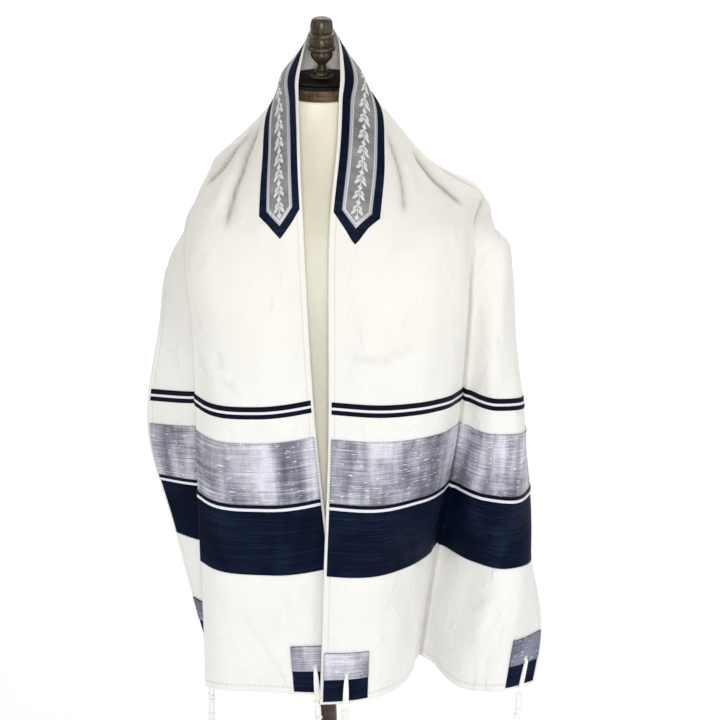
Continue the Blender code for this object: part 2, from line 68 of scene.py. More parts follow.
# One row per line across the cut: place along the cut, then X, Y, Z of each fold.
DRAPE = [
    (-100, (2.6, -12.2, -98.8), (-6.8, -13.4, -97.6), (-17.9, -10.4, -98.2), (-10.5, -9.8, -97.9),
     (-3.0, -8.6, -97.2), (-8.2, -6.8, -96.2), (-13.0, -6.2, -95.0), (-16.4, -6.0, -93.9),
     (-18.3, -5.0, -92.8)),
    (-79, (1.1, -12.4, -77.4), (-7.8, -13.8, -77.9), (-18.0, -10.2, -77.2), (-10.7, -11.6, -77.0),
     (-3.0, -10.6, -76.6), (-9.2, -9.4, -76.2), (-14.6, -8.4, -75.6), (-18.6, -7.2, -75.2),
     (-22.2, -5.4, -74.8)),
    (-58, (-0.9, -12.8, -56.5), (-9.0, -14.1, -57.2), (-18.1, -10.2, -56.5), (-10.9, -12.4, -56.6),
     (-3.4, -11.6, -55.8), (-9.0, -10.9, -55.9), (-14.5, -9.4, -56.4), (-20.3, -6.9, -57.4),
     (-25.9, -3.6, -58.4)),
    (-42, (-1.8, -13.0, -40.2), (-9.8, -14.0, -40.8), (-18.3, -9.8, -40.4), (-11.2, -12.3, -40.0),
     (-3.8, -11.9, -39.8), (-9.0, -11.0, -40.0), (-14.2, -9.4, -40.6), (-19.3, -6.4, -41.6),
     (-23.7, -2.6, -43.0)),
    (-30, (-2.3, -12.8, -27.6), (-10.4, -12.8, -27.8), (-18.9, -7.8, -28.2), (-12.8, -10.8, -27.9),
     (-6.2, -11.4, -27.8), (-11.0, -9.7, -28.1), (-15.8, -6.9, -28.8), (-20.4, -2.4, -31.0),
     (-22.8, 3.6, -36.5)),
    (-18, (-2.9, -9.4, -14.2), (-9.7, -7.4, -18.6), (-16.6, -3.2, -21.7), (-14.0, -3.9, -21.7),
     (-11.4, -4.2, -21.7), (-15.8, -0.4, -23.6), (-19.2, 3.0, -27.4), (-20.3, 6.4, -33.8),
     (-19.8, 9.2, -41.6)),
    (-9, (-2.8, -3.2, -5.5), (-8.2, 2.2, -12.6), (-13.2, 5.2, -19.8), (-13.4, 7.4, -22.6),
     (-12.8, 9.6, -26.0), (-12.9, 11.4, -32.0), (-13.1, 12.6, -38.4), (-13.0, 13.2, -45.0),
     (-12.8, 13.2, -51.6)),
    (0, (0, 2.9, 0.0), (0, 7.2, -9.6), (0, 11.6, -18.4), (0, 13.2, -23.8),
     (0, 14.2, -30.6), (0, 14.5, -37.2), (0, 14.6, -43.8), (0, 14.8, -50.4),
     (0, 14.9, -57.0)),
    (4.5, (2.2, 1.3, -1.3), (4.8, 5.8, -10.8), (6.2, 10.6, -18.8), (6.4, 12.2, -23.0),
     (6.4, 13.4, -27.4), (6.4, 14.2, -34.2), (6.5, 14.4, -41.2), (6.8, 14.4, -48.4),
     (7.1, 14.2, -56.2)),
    (9, (2.4, -3.2, -5.3), (8.6, 2.8, -12.2), (12.2, 8.4, -20.6), (12.8, 11.0, -25.0),
     (12.4, 11.4, -28.6), (12.0, 13.0, -35.4), (12.6, 13.8, -42.4), (13.8, 13.4, -49.0),
     (14.6, 12.2, -55.4)),
    (18, (2.3, -8.8, -12.8), (10.6, -6.2, -18.2), (17.8, -1.4, -21.4), (22.0, 0.6, -23.4),
     (24.0, 1.6, -26.4), (24.6, 5.0, -33.6), (24.4, 8.2, -41.4), (23.4, 10.8, -49.4),
     (22.6, 12.2, -57.2)),
    (30, (1.1, -13.0, -25.2), (10.0, -13.0, -25.8), (18.2, -9.4, -26.2), (20.6, -7.2, -26.7),
     (21.7, -4.8, -27.8), (25.4, -5.0, -29.4), (27.0, 0.5, -34.0), (27.6, 5.0, -41.6),
     (27.6, 8.0, -49.6)),
    (42, (0.9, -13.8, -40.2), (9.7, -14.2, -40.4), (17.6, -10.7, -40.8), (19.8, -7.8, -41.2),
     (20.9, -4.6, -41.8), (24.7, -7.0, -42.4), (27.6, -3.4, -43.8), (26.4, 3.2, -46.0),
     (19.8, 5.6, -49.5)),
    (58, (0.8, -14.2, -56.4), (9.4, -14.6, -56.6), (16.6, -11.0, -56.9), (18.6, -7.7, -57.5),
     (19.9, -4.2, -58.1), (24.5, -8.0, -58.3), (28.3, -7.0, -58.6), (29.4, -0.4, -59.6),
     (27.4, 6.6, -60.8)),
    (79, (0.0, -14.2, -77.8), (8.7, -14.1, -77.7), (14.0, -8.4, -78.2), (15.6, -5.2, -78.5),
     (17.0, -1.8, -78.6), (21.8, -8.4, -78.3), (26.2, -10.9, -78.3), (29.6, -9.2, -78.6),
     (30.7, -2.6, -79.2)),
    (91.5, (-0.4, -14.2, -90.5), (8.4, -13.8, -89.9), (12.8, -8.3, -90.4), (14.2, -4.6, -90.7),
     (15.6, -0.5, -90.9), (19.4, -7.6, -90.3), (23.2, -12.0, -89.7), (27.0, -12.5, -89.5),
     (32.6, -7.7, -90.0)),
    (100, (-0.7, -14.2, -99.2), (8.2, -13.6, -98.2), (12.0, -8.6, -98.7), (13.3, -4.4, -99.0),
     (14.7, 0.4, -99.2), (18.2, -7.0, -98.6), (21.9, -12.4, -97.8), (26.0, -13.4, -97.4),
     (31.4, -10.3, -97.7)),
]

# Soft folds and pressed creases: height, half width, then u and v of the points they go through.
CREASES = [
    # from the neck band out over the wearer's right shoulder, and over the left one
    (-0.62, 0.85, (-11.6, 7.9), (-14.0, 9.6), (-16.2, 10.7), (-20.5, 11.7), (-24.4, 12.1),
     (-27.8, 12.3)),
    (0.50, 0.95, (-11.8, 9.4), (-14.2, 11.4), (-16.4, 12.3), (-20.5, 13.4), (-25.0, 14.0)),
    (-0.60, 0.85, (-12.0, 9.9), (-14.6, 12.3), (-16.4, 14.2), (-18.2, 15.9), (-20.4, 17.2)),
    (0.45, 0.80, (-13.0, 12.4), (-16.0, 15.2), (-19.5, 18.2)),
    (-0.50, 0.80, (14.2, 7.7), (17.0, 9.1), (19.2, 9.8), (23.5, 10.5), (27.0, 10.9)),
    (0.42, 0.80, (14.0, 8.7), (16.4, 10.3), (19.4, 11.4), (24.0, 12.4)),
    (-0.75, 0.90, (14.6, 13.0), (17.6, 15.0), (20.1, 16.1), (22.6, 17.7), (25.6, 20.6)),
    (0.60, 1.00, (14.6, 14.8), (17.6, 17.4), (19.4, 19.7), (21.4, 22.2), (21.4, 25.2)),
    (-0.45, 0.80, (16.2, 18.0), (18.8, 20.9), (20.4, 23.2)),
    (-0.50, 0.70, (21.0, 24.4), (24.8, 24.6), (30.0, 25.2)),
    # across the front panels, above the bands
    (0.16, 0.70, (-45.0, 18.2), (-46.4, 16.3), (-48.1, 14.8)),
    (0.15, 0.55, (-48.1, 14.9), (-47.2, 12.2), (-47.2, 9.6), (-47.7, 6.0)),
    (-0.12, 0.60, (-44.2, 14.1), (-47.2, 13.9)), (-0.13, 0.60, (-48.2, 14.4), (-49.8, 12.0)),
    (0.12, 1.0, (-37.0, 16.0), (-40.0, 10.0), (-41.5, 4.0)),
    (0.12, 1.1, (38.0, 2.0), (40.5, 8.0), (41.5, 13.0)),
    (-0.12, 0.9, (45.0, 1.5), (46.0, 8.0), (43.5, 13.5)),
    (0.14, 0.8, (47.0, 20.0), (49.5, 14.0), (48.5, 9.0)),
    # short drags beside the folded edge
    (0.10, 0.30, (-53.8, 16.6), (-57.4, 16.9)), (0.09, 0.28, (-53.9, 15.7), (-57.0, 15.9)),
    (0.08, 0.45, (-57.4, 14.6), (-53.4, 14.0)),
    # faint pressed lines near the hems
    (0.09, 0.5, (-88.5, 15.4), (-98.8, 11.4)), (-0.08, 0.6, (-86.0, 13.2), (-97.0, 8.6)),
    (0.12, 0.6, (87.5, 30.5), (98.8, 42.6)), (0.10, 0.6, (84.0, 8.4), (97.0, 10.2)),
    (0.10, 0.6, (-84.0, 44.0), (-97.0, 50.0)), (0.10, 0.5, (92.0, 21.5), (99.5, 23.0)),
    (0.10, 0.5, (90.0, 45.5), (95.0, 48.0)), (-0.08, 0.5, (88.0, 16.0), (94.0, 18.5)),
]
# The crease between the two lobes on the wearer's left: a closed line and a low ridge beside it.
PRESSED_AT, PRESSED_FROM, PRESSED_OVER = 27.0, 28.0, 10.0
# Long low ripples, which begin below the shoulders.
RIPPLED_FROM, RIPPLED_OVER = 24.0, 30.0
RIPPLES = [
    # how often along and across in a metre, start, height
    (1.1, 5.2, 0.3, 0.10), (0.7, 8.3, 1.9, 0.07), (2.3, 3.1, 4.0, 0.06), (3.4, 6.7, 2.2, 0.035),
]


def metres(points):
    """Table points in centimetres to metres above the floor."""
    return (np.asarray(points, float) + np.array([0.0, 0.0, HEIGHT])) / 100.0


def curve(x, y, at):
    """Smooth line through points y that belong to places x, read at the places at.

    The line's own parameter is its length along the chords, so it never loops between knots.
    """
    x, y, at = np.asarray(x, float), np.asarray(y, float), np.asarray(at, float)
    step = np.maximum(np.linalg.norm(np.diff(y, axis=0), axis=1), 1e-3)
    run = np.concatenate([[0.0], np.cumsum(step)])
    chord = np.diff(y, axis=0) / step[:, None]
    before, after = step[:-1, None], step[1:, None]
    m = np.empty_like(y)
    m[1:-1] = (chord[:-1] * after + chord[1:] * before) / (before + after)
    m[0] = 1.5 * chord[0] - 0.5 * m[1]
    m[-1] = 1.5 * chord[-1] - 0.5 * m[-2]
    s = np.interp(at, x, run)
    k = np.clip(np.searchsorted(run, s, side="right") - 1, 0, len(x) - 2)
    h = step[k][:, None]
    t = ((s - run[k]) / step[k])[:, None]
    return ((1 + 2 * t) * (1 - t) ** 2 * y[k] + t * (1 - t) ** 2 * h * m[k]
            + t * t * (3 - 2 * t) * y[k + 1] + t * t * (t - 1) * h * m[k + 1])


def pressed(across, points):
    """Adds a knot on each side of the fold and of the tuck, so the cloth turns closely there."""
    places, knots = [across], [points]
    for name, always in (("fold", False), ("tuck", True)):
        k = FOLDS.index(name)
        before, after = points[k - 1] - points[k], points[k + 1] - points[k]
        before, after = before / np.linalg.norm(before), after / np.linalg.norm(after)
        closed = max(0.0, float(before @ after))
        share = 1.0 if always else closed
        apart = before - after
        apart /= np.linalg.norm(apart)
        for sign, way in ((-1, before), (1, after)):
            place = across[k] + sign * TURN
            tight = points[k] + way * TURN * TURN_SHARE - sign * apart * closed * TURN_RADIUS
            smooth = curve(across, points, [place])[0]
            places.append([place])
            knots.append([share * tight + (1 - share) * smooth])
    places, knots = np.concatenate(places), np.concatenate(knots)
    order = np.argsort(places)
    return places[order], knots[order]


def middle(u, v):
    """Middle surface of the draped cloth, cm, as an array of shape (rows, columns, 3)."""
    along = np.array([row[0] for row in DRAPE], float)
    folds = np.array([row[1:] for row in DRAPE], float)
    out = np.empty((len(u), len(v), 3))
    flat = np.stack([curve(along, folds[:, k], u) for k in range(len(FOLDS))], axis=1)
    side = np.clip(np.asarray(u) / CHANGE * 0.5 + 0.5, 0.0, 1.0)
    for i, share in enumerate(side):
        across = (1 - share) * np.array(ACROSS_L, float) + share * np.array(ACROSS_R, float)
        out[i] = curve(*pressed(across, flat[i]), v)
    near = np.hypot(out[..., 0], out[..., 1])
    height, clear = np.array(NECK_CLEAR).T
    wide = np.where(out[..., 2] > height[0],
                    np.maximum(1.0, np.interp(out[..., 2], height, clear) / near), 1.0)
    out[..., :2] *= wide[..., None]
    return out


def normals(p):
    """Unit normals of a grid of points, on the side that shows."""
    du = np.gradient(p, axis=0)
    dv = np.gradient(p, axis=1)
    n = np.cross(du, dv)
    return n / np.linalg.norm(n, axis=2, keepdims=True)


def spread_by(dense, places, count):
    """So many places that the summed density grows by equal steps from each to the next."""
    total = np.concatenate([[0.0], np.cumsum(0.5 * (dense[1:] + dense[:-1]) * np.diff(places))])
    return np.interp(np.linspace(0.0, total[-1], count), total, places)


def lines_across():
    """Places across the cut, closer together on the shoulders, at the folds and at the edges."""
    v = np.linspace(0.0, WIDTH, 4001)
    dense = np.where((v > SHOULDERS_ACROSS[0]) & (v < SHOULDERS_ACROSS[1]), 2.1, 1.25)
    for fold in (ACROSS_L[2], ACROSS_R[4], ACROSS_L[4]):
        dense += 4.0 * np.exp(-((v - fold) / 1.25) ** 2)
    for edge in (0.0, WIDTH):
        dense += 3.0 * np.exp(-((v - edge) / 0.5) ** 2)
    return spread_by(dense, v, LINES_ACROSS)


def lines_along():
    """Places along the cut: closer together on the shoulders and at the hem of each end."""
    u = np.linspace(-END + 1.2, END - 1.2, 4001)
    far = np.abs(u)
    dense = np.where((far > SHOULDERS_ALONG[0]) & (far < SHOULDERS_ALONG[1]), 2.2, 1.18)
    hem = END - np.array([0.0, 0.06, 0.3, 0.6, HEM - 0.06, HEM + 0.06])
    return np.sort(np.concatenate([spread_by(dense, u, LINES_ALONG), hem, -hem]))


def between(lines):
    """The same lines with one more halfway between each two."""
    return np.sort(np.concatenate([lines, 0.5 * (lines[1:] + lines[:-1])]))


def smoothed(points, axis, passes, share):
    """Each inner point moves towards the mean of its two neighbours, by share, again and again."""
    p = np.moveaxis(points.copy(), axis, 0)
    share = np.moveaxis(np.broadcast_to(share, points.shape[:2]), axis, 0)[1:-1, :, None]
    for _ in range(passes):
        p[1:-1] += share * 0.5 * (0.5 * (p[:-2] + p[2:]) - p[1:-1])
    return np.moveaxis(p, 0, axis)


def open_share(u, v):
    """0 at the closed folds and 1 away from them, so that no fold is flattened or filled."""
    side = np.clip(u / CHANGE * 0.5 + 0.5, 0.0, 1.0)
    tuck = ACROSS_L[4] * (1 - side) + ACROSS_R[4] * side
    near = np.minimum(np.abs(v - ACROSS_L[2]), np.abs(v - tuck))
    return np.clip((near - CLOSED_NEAR) / CLOSED_OVER, 0.0, 1.0)


def crease(u, v, points):
    """How near each place is to a line through points: the distance to it, and a share that
    rises from 0.1 to 1 and falls again over its length."""
    points = np.array(points)
    steps = np.linalg.norm(np.diff(points, axis=0), axis=1)
    near, share = np.full(np.broadcast(u, v).shape, 1e9), np.zeros(np.broadcast(u, v).shape)
    for (u0, v0), (du, dv), step, run in zip(points, np.diff(points, axis=0), steps,
                                             np.cumsum(steps) - steps):
        t = np.clip(((u - u0) * du + (v - v0) * dv) / step ** 2, 0.0, 1.0)
        far = np.hypot(u - u0 - t * du, v - v0 - t * dv)
        along = (run + t * step) / steps.sum()
        share = np.where(far < near, np.clip(np.minimum(along, 1 - along) * 6 + 0.1, 0, 1), share)
        near = np.minimum(near, far)
    return near, share


def pressed_in(u):
    """0 above the two lobes and 1 where the crease between them is pressed in fully."""
    return np.clip((u - PRESSED_FROM) / PRESSED_OVER, 0.0, 1.0)


def relief(u, v):
    """Height of the folds. A raised one is its height times exp(-(distance / half width)^2), a
    sunk one its depth times exp(-1.3 distance / half width), and long sine ripples are added."""
    out = np.zeros(np.broadcast(u, v).shape)
    for height, wide, *points in CREASES:
        near, share = crease(u, v, points)
        out += height * share * np.exp(-(near / wide) ** 2 if height > 0 else -1.3 * near / wide)
    rippled = np.clip((np.abs(u) - RIPPLED_FROM) / RIPPLED_OVER, 0.0, 1.0)
    for along, across, start, height in RIPPLES:
        out += height * np.sin(2 * np.pi * (along * u + across * v) / 100 + start) * rippled
    off = v - PRESSED_AT
    line = 0.16 * np.exp(-((off - 0.55) / 0.35) ** 2) - 0.34 * np.exp(-np.abs(off) / 0.40)
    return out * open_share(u, v) + pressed_in(u) * line


def sunk_shade(u, v):
    """How deep in a sunk fold each place lies, for the painted shade in its colour: the sum over
    the sunk folds of depth times exp(-2.5 distance / half width), and a thin line of painted shade
    in the crease at the lobes."""
    out = 0.30 * np.exp(-np.abs(v - PRESSED_AT) / 0.30) * pressed_in(u)
    for height, wide, *points in CREASES:
        if height < 0:
            near, share = crease(u, v, points)
            out = out - height * share * np.exp(-2.5 * near / wide)
    return out


V_LINES, U_LINES = lines_across(), lines_along()
U_FINE, V_FINE = between(U_LINES), between(V_LINES)
SPREAD = open_share(U_FINE[:, None], V_FINE[None, :])
CLOTH = middle(U_FINE, V_FINE)
CLOTH = smoothed(CLOTH, 0, SMOOTHED_ALONG, 1.0)
CLOTH = smoothed(CLOTH, 1, SMOOTHED_ACROSS, SPREAD)
CLOTH += normals(CLOTH) * relief(U_FINE[:, None], V_FINE[None, :])[..., None]
OUTWARD = normals(CLOTH)


def on(u, v, lift=0.0):
    """Points on the draped cloth, lift cm outside its middle surface, read linearly between the
    stored lines at the places u along and v across the cut."""
    u, v, lift = np.broadcast_arrays(np.asarray(u, float), np.asarray(v, float), lift)
    i = np.interp(u, U_FINE, np.arange(len(U_FINE)))
    j = np.interp(v, V_FINE, np.arange(len(V_FINE)))
    i0 = np.minimum(i.astype(int), len(U_FINE) - 2)
    j0 = np.minimum(j.astype(int), len(V_FINE) - 2)
    a, b = (i - i0)[..., None], (j - j0)[..., None]

    def read(grid):
        return ((1 - a) * ((1 - b) * grid[i0, j0] + b * grid[i0, j0 + 1])
                + a * ((1 - b) * grid[i0 + 1, j0] + b * grid[i0 + 1, j0 + 1]))

    return read(CLOTH) + read(OUTWARD) * lift[..., None]


def outward(u, v):
    """The direction out of the cloth at places on the cut."""
    return on(u, v, 1.0) - on(u, v)


def quads(rows, cols, loop_rows=False, loop_cols=False):
    """Corner numbers of the cells of a grid of points, turning the same way as rows into cols."""
    i = np.arange(rows if loop_rows else rows - 1)[:, None]
    j = np.arange(cols if loop_cols else cols - 1)[None, :]
    i1, j1 = (i + 1) % rows, (j + 1) % cols
    corners = [i * cols + j, i1 * cols + j, i1 * cols + j1, i * cols + j1]
    return np.stack(np.broadcast_arrays(*corners), axis=-1).reshape(-1, 4)


def piece(name, points, faces, look, uv=None, slot=None, **layers):
    """An object whose mesh has its place in it. points are table centimetres, faces a list of
    arrays of corner numbers, uv and layers one value for each point."""
    mesh = bpy.data.meshes.new(name)
    mesh.from_pydata(metres(points.reshape(-1, 3)).tolist(), [],
                     [face for block in faces for face in np.atleast_2d(block).tolist()])
    if uv is not None:
        corner = np.empty(len(mesh.loops), dtype=np.int32)
        mesh.loops.foreach_get("vertex_index", corner)
        mesh.uv_layers.new(name="cut").data.foreach_set("uv", uv.reshape(-1, 2)[corner].ravel())
    for layer, values in layers.items():
        mesh.attributes.new(layer, "FLOAT", "POINT").data.foreach_set("value", values.ravel())
    mesh.polygons.foreach_set("use_smooth", np.ones(len(mesh.polygons), dtype=bool))
    mesh.materials.append(look)
    obj = bpy.data.objects.new(name, mesh)
    bpy.context.scene.collection.objects.link(obj)
    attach(obj, "root")
    return obj


def border(rows, cols):
    """Point numbers once round the edge of a grid."""
    i, j = np.arange(rows), np.arange(cols)
    return np.concatenate([i * cols, (rows - 1) * cols + j[1:], i[-2::-1] * cols + cols - 1,
                           j[-2::-1]])


def rim(edge, count):
    """Cells between a line of points and the same line of the grid whose numbers are count on."""
    return np.stack([edge[1:], edge[:-1], edge[:-1] + count, edge[1:] + count], axis=1)


def walled(name, top, under, look, uv, slot, loop=False, **layers):
    """A closed sheet: an upper grid, an under grid, and a rim that joins their borders. With loop
    the rows close into a ring, and the rim is the ring's two sides."""
    rows, cols = top.shape[:2]
    count = rows * cols
    upper = quads(rows, cols, loop_rows=loop)
    sides = [border(rows, cols)]
    if loop:
        i = np.arange(rows)
        sides = [np.append(i, 0) * cols, np.append(i[::-1], rows - 1) * cols + cols - 1]
    points = np.concatenate([top.reshape(-1, 3), under.reshape(-1, 3)])
    layers = {k: np.concatenate([w.ravel(), w.ravel()]) for k, w in layers.items()}
    return piece(name, points, [upper, upper[:, ::-1] + count, *(rim(s, count) for s in sides)],
                 look, uv=np.concatenate([uv.reshape(-1, 2)] * 2), slot=slot, **layers)


def cut_uv(u, v):
    """The cut's own coordinates in metres, along and across."""
    return np.stack(np.broadcast_arrays(u / 100.0, v / 100.0), axis=-1)


def new_look(name, **sockets):
    """A material, its node tree and its shader. sockets are values set on the shader itself."""
    mat = bpy.data.materials.new(name)
    mat.use_nodes = True
    shader = mat.node_tree.nodes["Principled BSDF"]
    for socket, value in sockets.items():
        shader.inputs[socket.replace("_", " ")].default_value = value
    return mat, mat.node_tree, shader


def add(tree, kind, sockets=None, **settings):
    """One more shader node. A socket gets a value, or a link where it is given another's output."""
    made = tree.nodes.new("ShaderNode" + kind)
    for key, value in settings.items():
        setattr(made, key, value)
    for socket, value in (sockets or {}).items():
        if isinstance(value, bpy.types.NodeSocket):
            tree.links.new(value, made.inputs[socket])
        else:
            made.inputs[socket].default_value = value
    return made


def grain(tree, place, scale, detail=2.0, rough=0.5, warp=0.0):
    """Noise from 0 to 1 at a place, stretched: scale is how often it changes along each axis."""
    mapped = add(tree, "Mapping", {"Vector": place, "Scale": scale})
    noise = add(tree, "TexNoise", {"Vector": mapped.outputs[0], "Scale": 1.0, "Detail": detail,
                                   "Roughness": rough, "Distortion": warp})
    return noise.outputs[0]


def sums(tree, what, a, b=0.0, clamp=False):
    """Arithmetic on two values or links."""
    return add(tree, "Math", {0: a, 1: b}, operation=what, use_clamp=clamp).outputs[0]


def weigh(tree, *parts):
    """The sum of several values or links, each times its weight."""
    total = None
    for value, weight in parts:
        part = value if weight == 1.0 else sums(tree, "MULTIPLY", value, weight)
        total = part if total is None else sums(tree, "ADD", total, part)
    return total


def cut_place(tree):
    """The place on the cut that is shaded, along and across in metres."""
    return add(tree, "UVMap", uv_map="cut").outputs[0]


def ramp(tree, value, stops, step="LINEAR"):
    """A colour that goes through the stops, (place, colour), as the value goes from 0 to 1."""
    made = add(tree, "ValToRGB", {"Fac": value})
    made.color_ramp.interpolation = step
    points = made.color_ramp.elements
    points[0].position, points[0].color = stops[0][0], (*stops[0][1], 1.0)
    points[1].position, points[1].color = stops[-1][0], (*stops[-1][1], 1.0)
    for place, colour in stops[1:-1]:
        point = points.new(place)
        point.color = (*colour, 1.0)
    return made.outputs[0]


def blend(tree, share, a, b, how="MIX"):
    """Colour a going to colour b as share goes from 0 to 1."""
    made = add(tree, "Mix", {0: share}, data_type="RGBA", blend_type=how)
    for k, value in ((6, a), (7, b)):
        if isinstance(value, bpy.types.NodeSocket):
            tree.links.new(value, made.inputs[k])
        else:
            made.inputs[k].default_value = (*value, 1.0)
    return made.outputs[2]


def finish_with(tree, shader, colour, height=None, depth=0.0003, rough=None, strength=1.0,
                bends=None, bend_depth=0.003):
    """Links colour, roughness and a bump whose full height is depth metres to the shader. The
    bump lies on top of slow bends of the cloth, bend_depth metres high."""
    tree.links.new(colour, shader.inputs["Base Color"])
    if rough is not None:
        tree.links.new(rough, shader.inputs["Roughness"])
    if height is not None:
        made = add(tree, "Bump", {"Height": height, "Distance": depth, "Strength": strength})
        if bends is not None:
            slow = add(tree, "Bump", {"Height": bends, "Distance": bend_depth, "Strength": 1.0})
            tree.links.new(slow.outputs[0], made.inputs["Normal"])
        tree.links.new(made.outputs[0], shader.inputs["Normal"])


def ivory_wool():
    """Fine plain weave, slightly uneven in tone, with fuzz that catches the light. Towards the neck
    it has painted shade that makes it darker and creamier, as the shoulders lie in shade. Sunk
    folds get painted shade as well, and a line of stitches runs round at the hem."""
    mat, tree, shader = new_look("ivory_wool", Roughness=0.82, Sheen_Weight=0.35,
                                 Sheen_Roughness=0.5, Specular_IOR_Level=0.25)
    place = cut_place(tree)
    warp = grain(tree, place, (30, 900, 1), 2.0)
    weft = grain(tree, place, (900, 30, 1), 2.0)
    cloud = grain(tree, place, (9, 14, 1), 3.0)
    nap = grain(tree, place, (260, 260, 1), 3.0)
    threads = sums(tree, "ADD", warp, weft)
    colour = ramp(tree, weigh(tree, (cloud, 0.75), (threads, 0.13)),
                  [(0.2, (0.765, 0.755, 0.725)), (0.5, (0.812, 0.806, 0.782)),
                   (0.8, (0.845, 0.842, 0.825))])
    along, across = add(tree, "SeparateXYZ", {0: place}).outputs[:2]
    far = sums(tree, "ABSOLUTE", along)
    # Painted shade: darker and creamier towards the neck, where the shoulders lie in shade.
    shade_towards_neck = sums(tree, "MULTIPLY", sums(tree, "SUBTRACT", 0.62, far), 2.2, clamp=True)
    colour = blend(tree, sums(tree, "MULTIPLY", shade_towards_neck, 0.85), colour,
                   (0.955, 0.930, 0.860), "MULTIPLY")
    # Painted shade in the sunk folds and in the crease between the lobes.
    sunk = add(tree, "Attribute", attribute_name="sunk").outputs["Fac"]
    colour = blend(tree, sums(tree, "MULTIPLY", sunk, 2.0, clamp=True), colour,
                   (0.40, 0.375, 0.325))
    half = sums(tree, "ABSOLUTE", sums(tree, "SUBTRACT", across, WIDTH / 200))
    to_end = sums(tree, "SUBTRACT", END / 100, far)
    to_edge = sums(tree, "SUBTRACT", WIDTH / 200, half)
    off = sums(tree, "MINIMUM", *(sums(tree, "ABSOLUTE", sums(tree, "SUBTRACT", to, HEM / 100))
                                  for to in (to_end, to_edge)))
    seam = sums(tree, "SUBTRACT", 1.0, sums(tree, "DIVIDE", off, 0.0011), clamp=True)
    dashes = add(tree, "TexWave", {"Vector": place, "Scale": 55.0, "Distortion": 0.2},
                 bands_direction="Y").outputs["Fac"]
    stitched = sums(tree, "MULTIPLY", seam, sums(tree, "ADD", 0.45, dashes))
    colour = blend(tree, sums(tree, "MULTIPLY", stitched, 0.45), colour, (0.56, 0.54, 0.50))
    dents = sums(tree, "MAXIMUM", grain(tree, place, (26, 30, 1), 1.5, 0.4, warp=0.6), 0.52)
    rumple = weigh(tree, (grain(tree, place, (7, 10, 1), 1.0, 0.4, warp=0.5), 1.0), (dents, 0.55))
    finish_with(tree, shader, colour, weigh(tree, (threads, 1.0), (nap, 0.8), (stitched, -1.5)),
                0.00022, strength=0.6, rough=weigh(tree, (nap, 0.18), (0.72, 1.0)),
                bends=rumple, bend_depth=0.011)
    return mat


TURNED_IN_RISE, ROUNDED_FALL = 0.022, 0.045


def hem_height(u, v):
    """Each face is a little higher where the cloth is turned in, at the ends and edges, and
    rounds off at the very edge."""
    end, edge = END - np.abs(u), np.minimum(v, WIDTH - v)
    turned_in = np.maximum(np.clip((HEM - end) / 0.12, 0, 1), np.clip((SELVAGE - edge) / 0.1, 0, 1))
    inwards = np.clip(np.minimum(end, edge) / 0.1, 0.0, 1.0)
    return TURNED_IN_RISE * turned_in - ROUNDED_FALL * (1 - inwards) ** 2


u, v = U_LINES[:, None], V_LINES[None, :]
thicker = hem_height(u, v)
shawl = walled("shawl_cloth", on(u, v, WALL / 2 + thicker), on(u, v, -WALL / 2 - thicker),
               ivory_wool(), cut_uv(u, v), "shawl_cloth", sunk=sunk_shade(u, v))
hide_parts("shawl")

# Overcast stitches hold the edge of each sewn piece: short threads of sewing cotton, one by one
# over the edge. The same small arched thread serves every piece, laid many times in one mesh.
THREAD, THREAD_RISE = 0.035, 0.05


def rope(path, radius, up, sides=8):
    """Circles of points square to each path. path is (..., points, 3), radius is broadcast over
    points and sides, up is any direction that isn't the path's own."""
    ahead = np.gradient(path, axis=-2)
    ahead /= np.linalg.norm(ahead, axis=-1, keepdims=True)
    side = up - (up * ahead).sum(-1, keepdims=True) * ahead
    side /= np.linalg.norm(side, axis=-1, keepdims=True)
    rest = np.cross(ahead, side)
    turn = 2 * np.pi * np.arange(sides) / sides
    radius = np.broadcast_to(radius, path.shape[:-1] + (sides,))
    return path[..., None, :] + radius[..., None] * (
        np.cos(turn)[:, None] * side[..., None, :] - np.sin(turn)[:, None] * rest[..., None, :])


def rope_faces(ropes, points, sides, first=0):
    """Cells and closed ends of several ropes of equal size, one after the other."""
    starts = first + np.arange(ropes)[:, None, None] * points * sides
    cells = (quads(points, sides, loop_cols=True)[None] + starts).reshape(-1, 4)
    ends = np.arange(sides) + starts[:, 0]
    return [cells, ends, ends[:, ::-1] + (points - 1) * sides]


def cotton(name, colour):
    """Twisted sewing thread, a shade uneven along its length."""
    mat, tree, shader = new_look(name, Roughness=0.6, Sheen_Weight=0.2)
    place = add(tree, "TexCoord").outputs["Object"]
    tone = grain(tree, place, (900, 900, 900), 2.0)
    dark, light = tuple(0.72 * c for c in colour), tuple(min(1.0, 1.25 * c) for c in colour)
    finish_with(tree, shader, ramp(tree, tone, [(0.3, dark), (0.7, light)]), tone, 0.0001)
    return mat


COTTON = {"grey": cotton("grey_thread", (0.060, 0.060, 0.075)),
          "navy": cotton("navy_thread", (0.010, 0.014, 0.035)),
          "white": cotton("white_thread", (0.82, 0.82, 0.80))}


def stitches(name, u, v, du, dv, lift, thread, slot, radius=THREAD):
    """Threads with their middles at u, v and half lengths du, dv. Each rises 1 - t^2 above the
    edge that it crosses, and thins to its ends."""
    t = np.linspace(-1.0, 1.0, 6)
    at_u = u[:, None] + t * np.asarray(du).reshape(-1, 1)
    at_v = v[:, None] + t * np.asarray(dv).reshape(-1, 1)
    path = on(at_u, at_v, lift + THREAD_RISE * (1 - t * t) - THREAD)
    rings = rope(path, (radius * (1 - 0.6 * t * t))[:, None], outward(at_u, at_v), sides=4)
    return piece(name, rings, rope_faces(len(u), len(t), 4), COTTON[thread], slot=slot)


def along_edge(start, end, step):
    """Middles of evenly spaced stitches on a straight edge of the cut, as arrays u and v."""
    far = np.hypot(end[0] - start[0], end[1] - start[1])
    t = (np.arange(max(2, int(far / step))) + 0.5) / max(2, int(far / step))
    return start[0] + (end[0] - start[0]) * t, start[1] + (end[1] - start[1]) * t


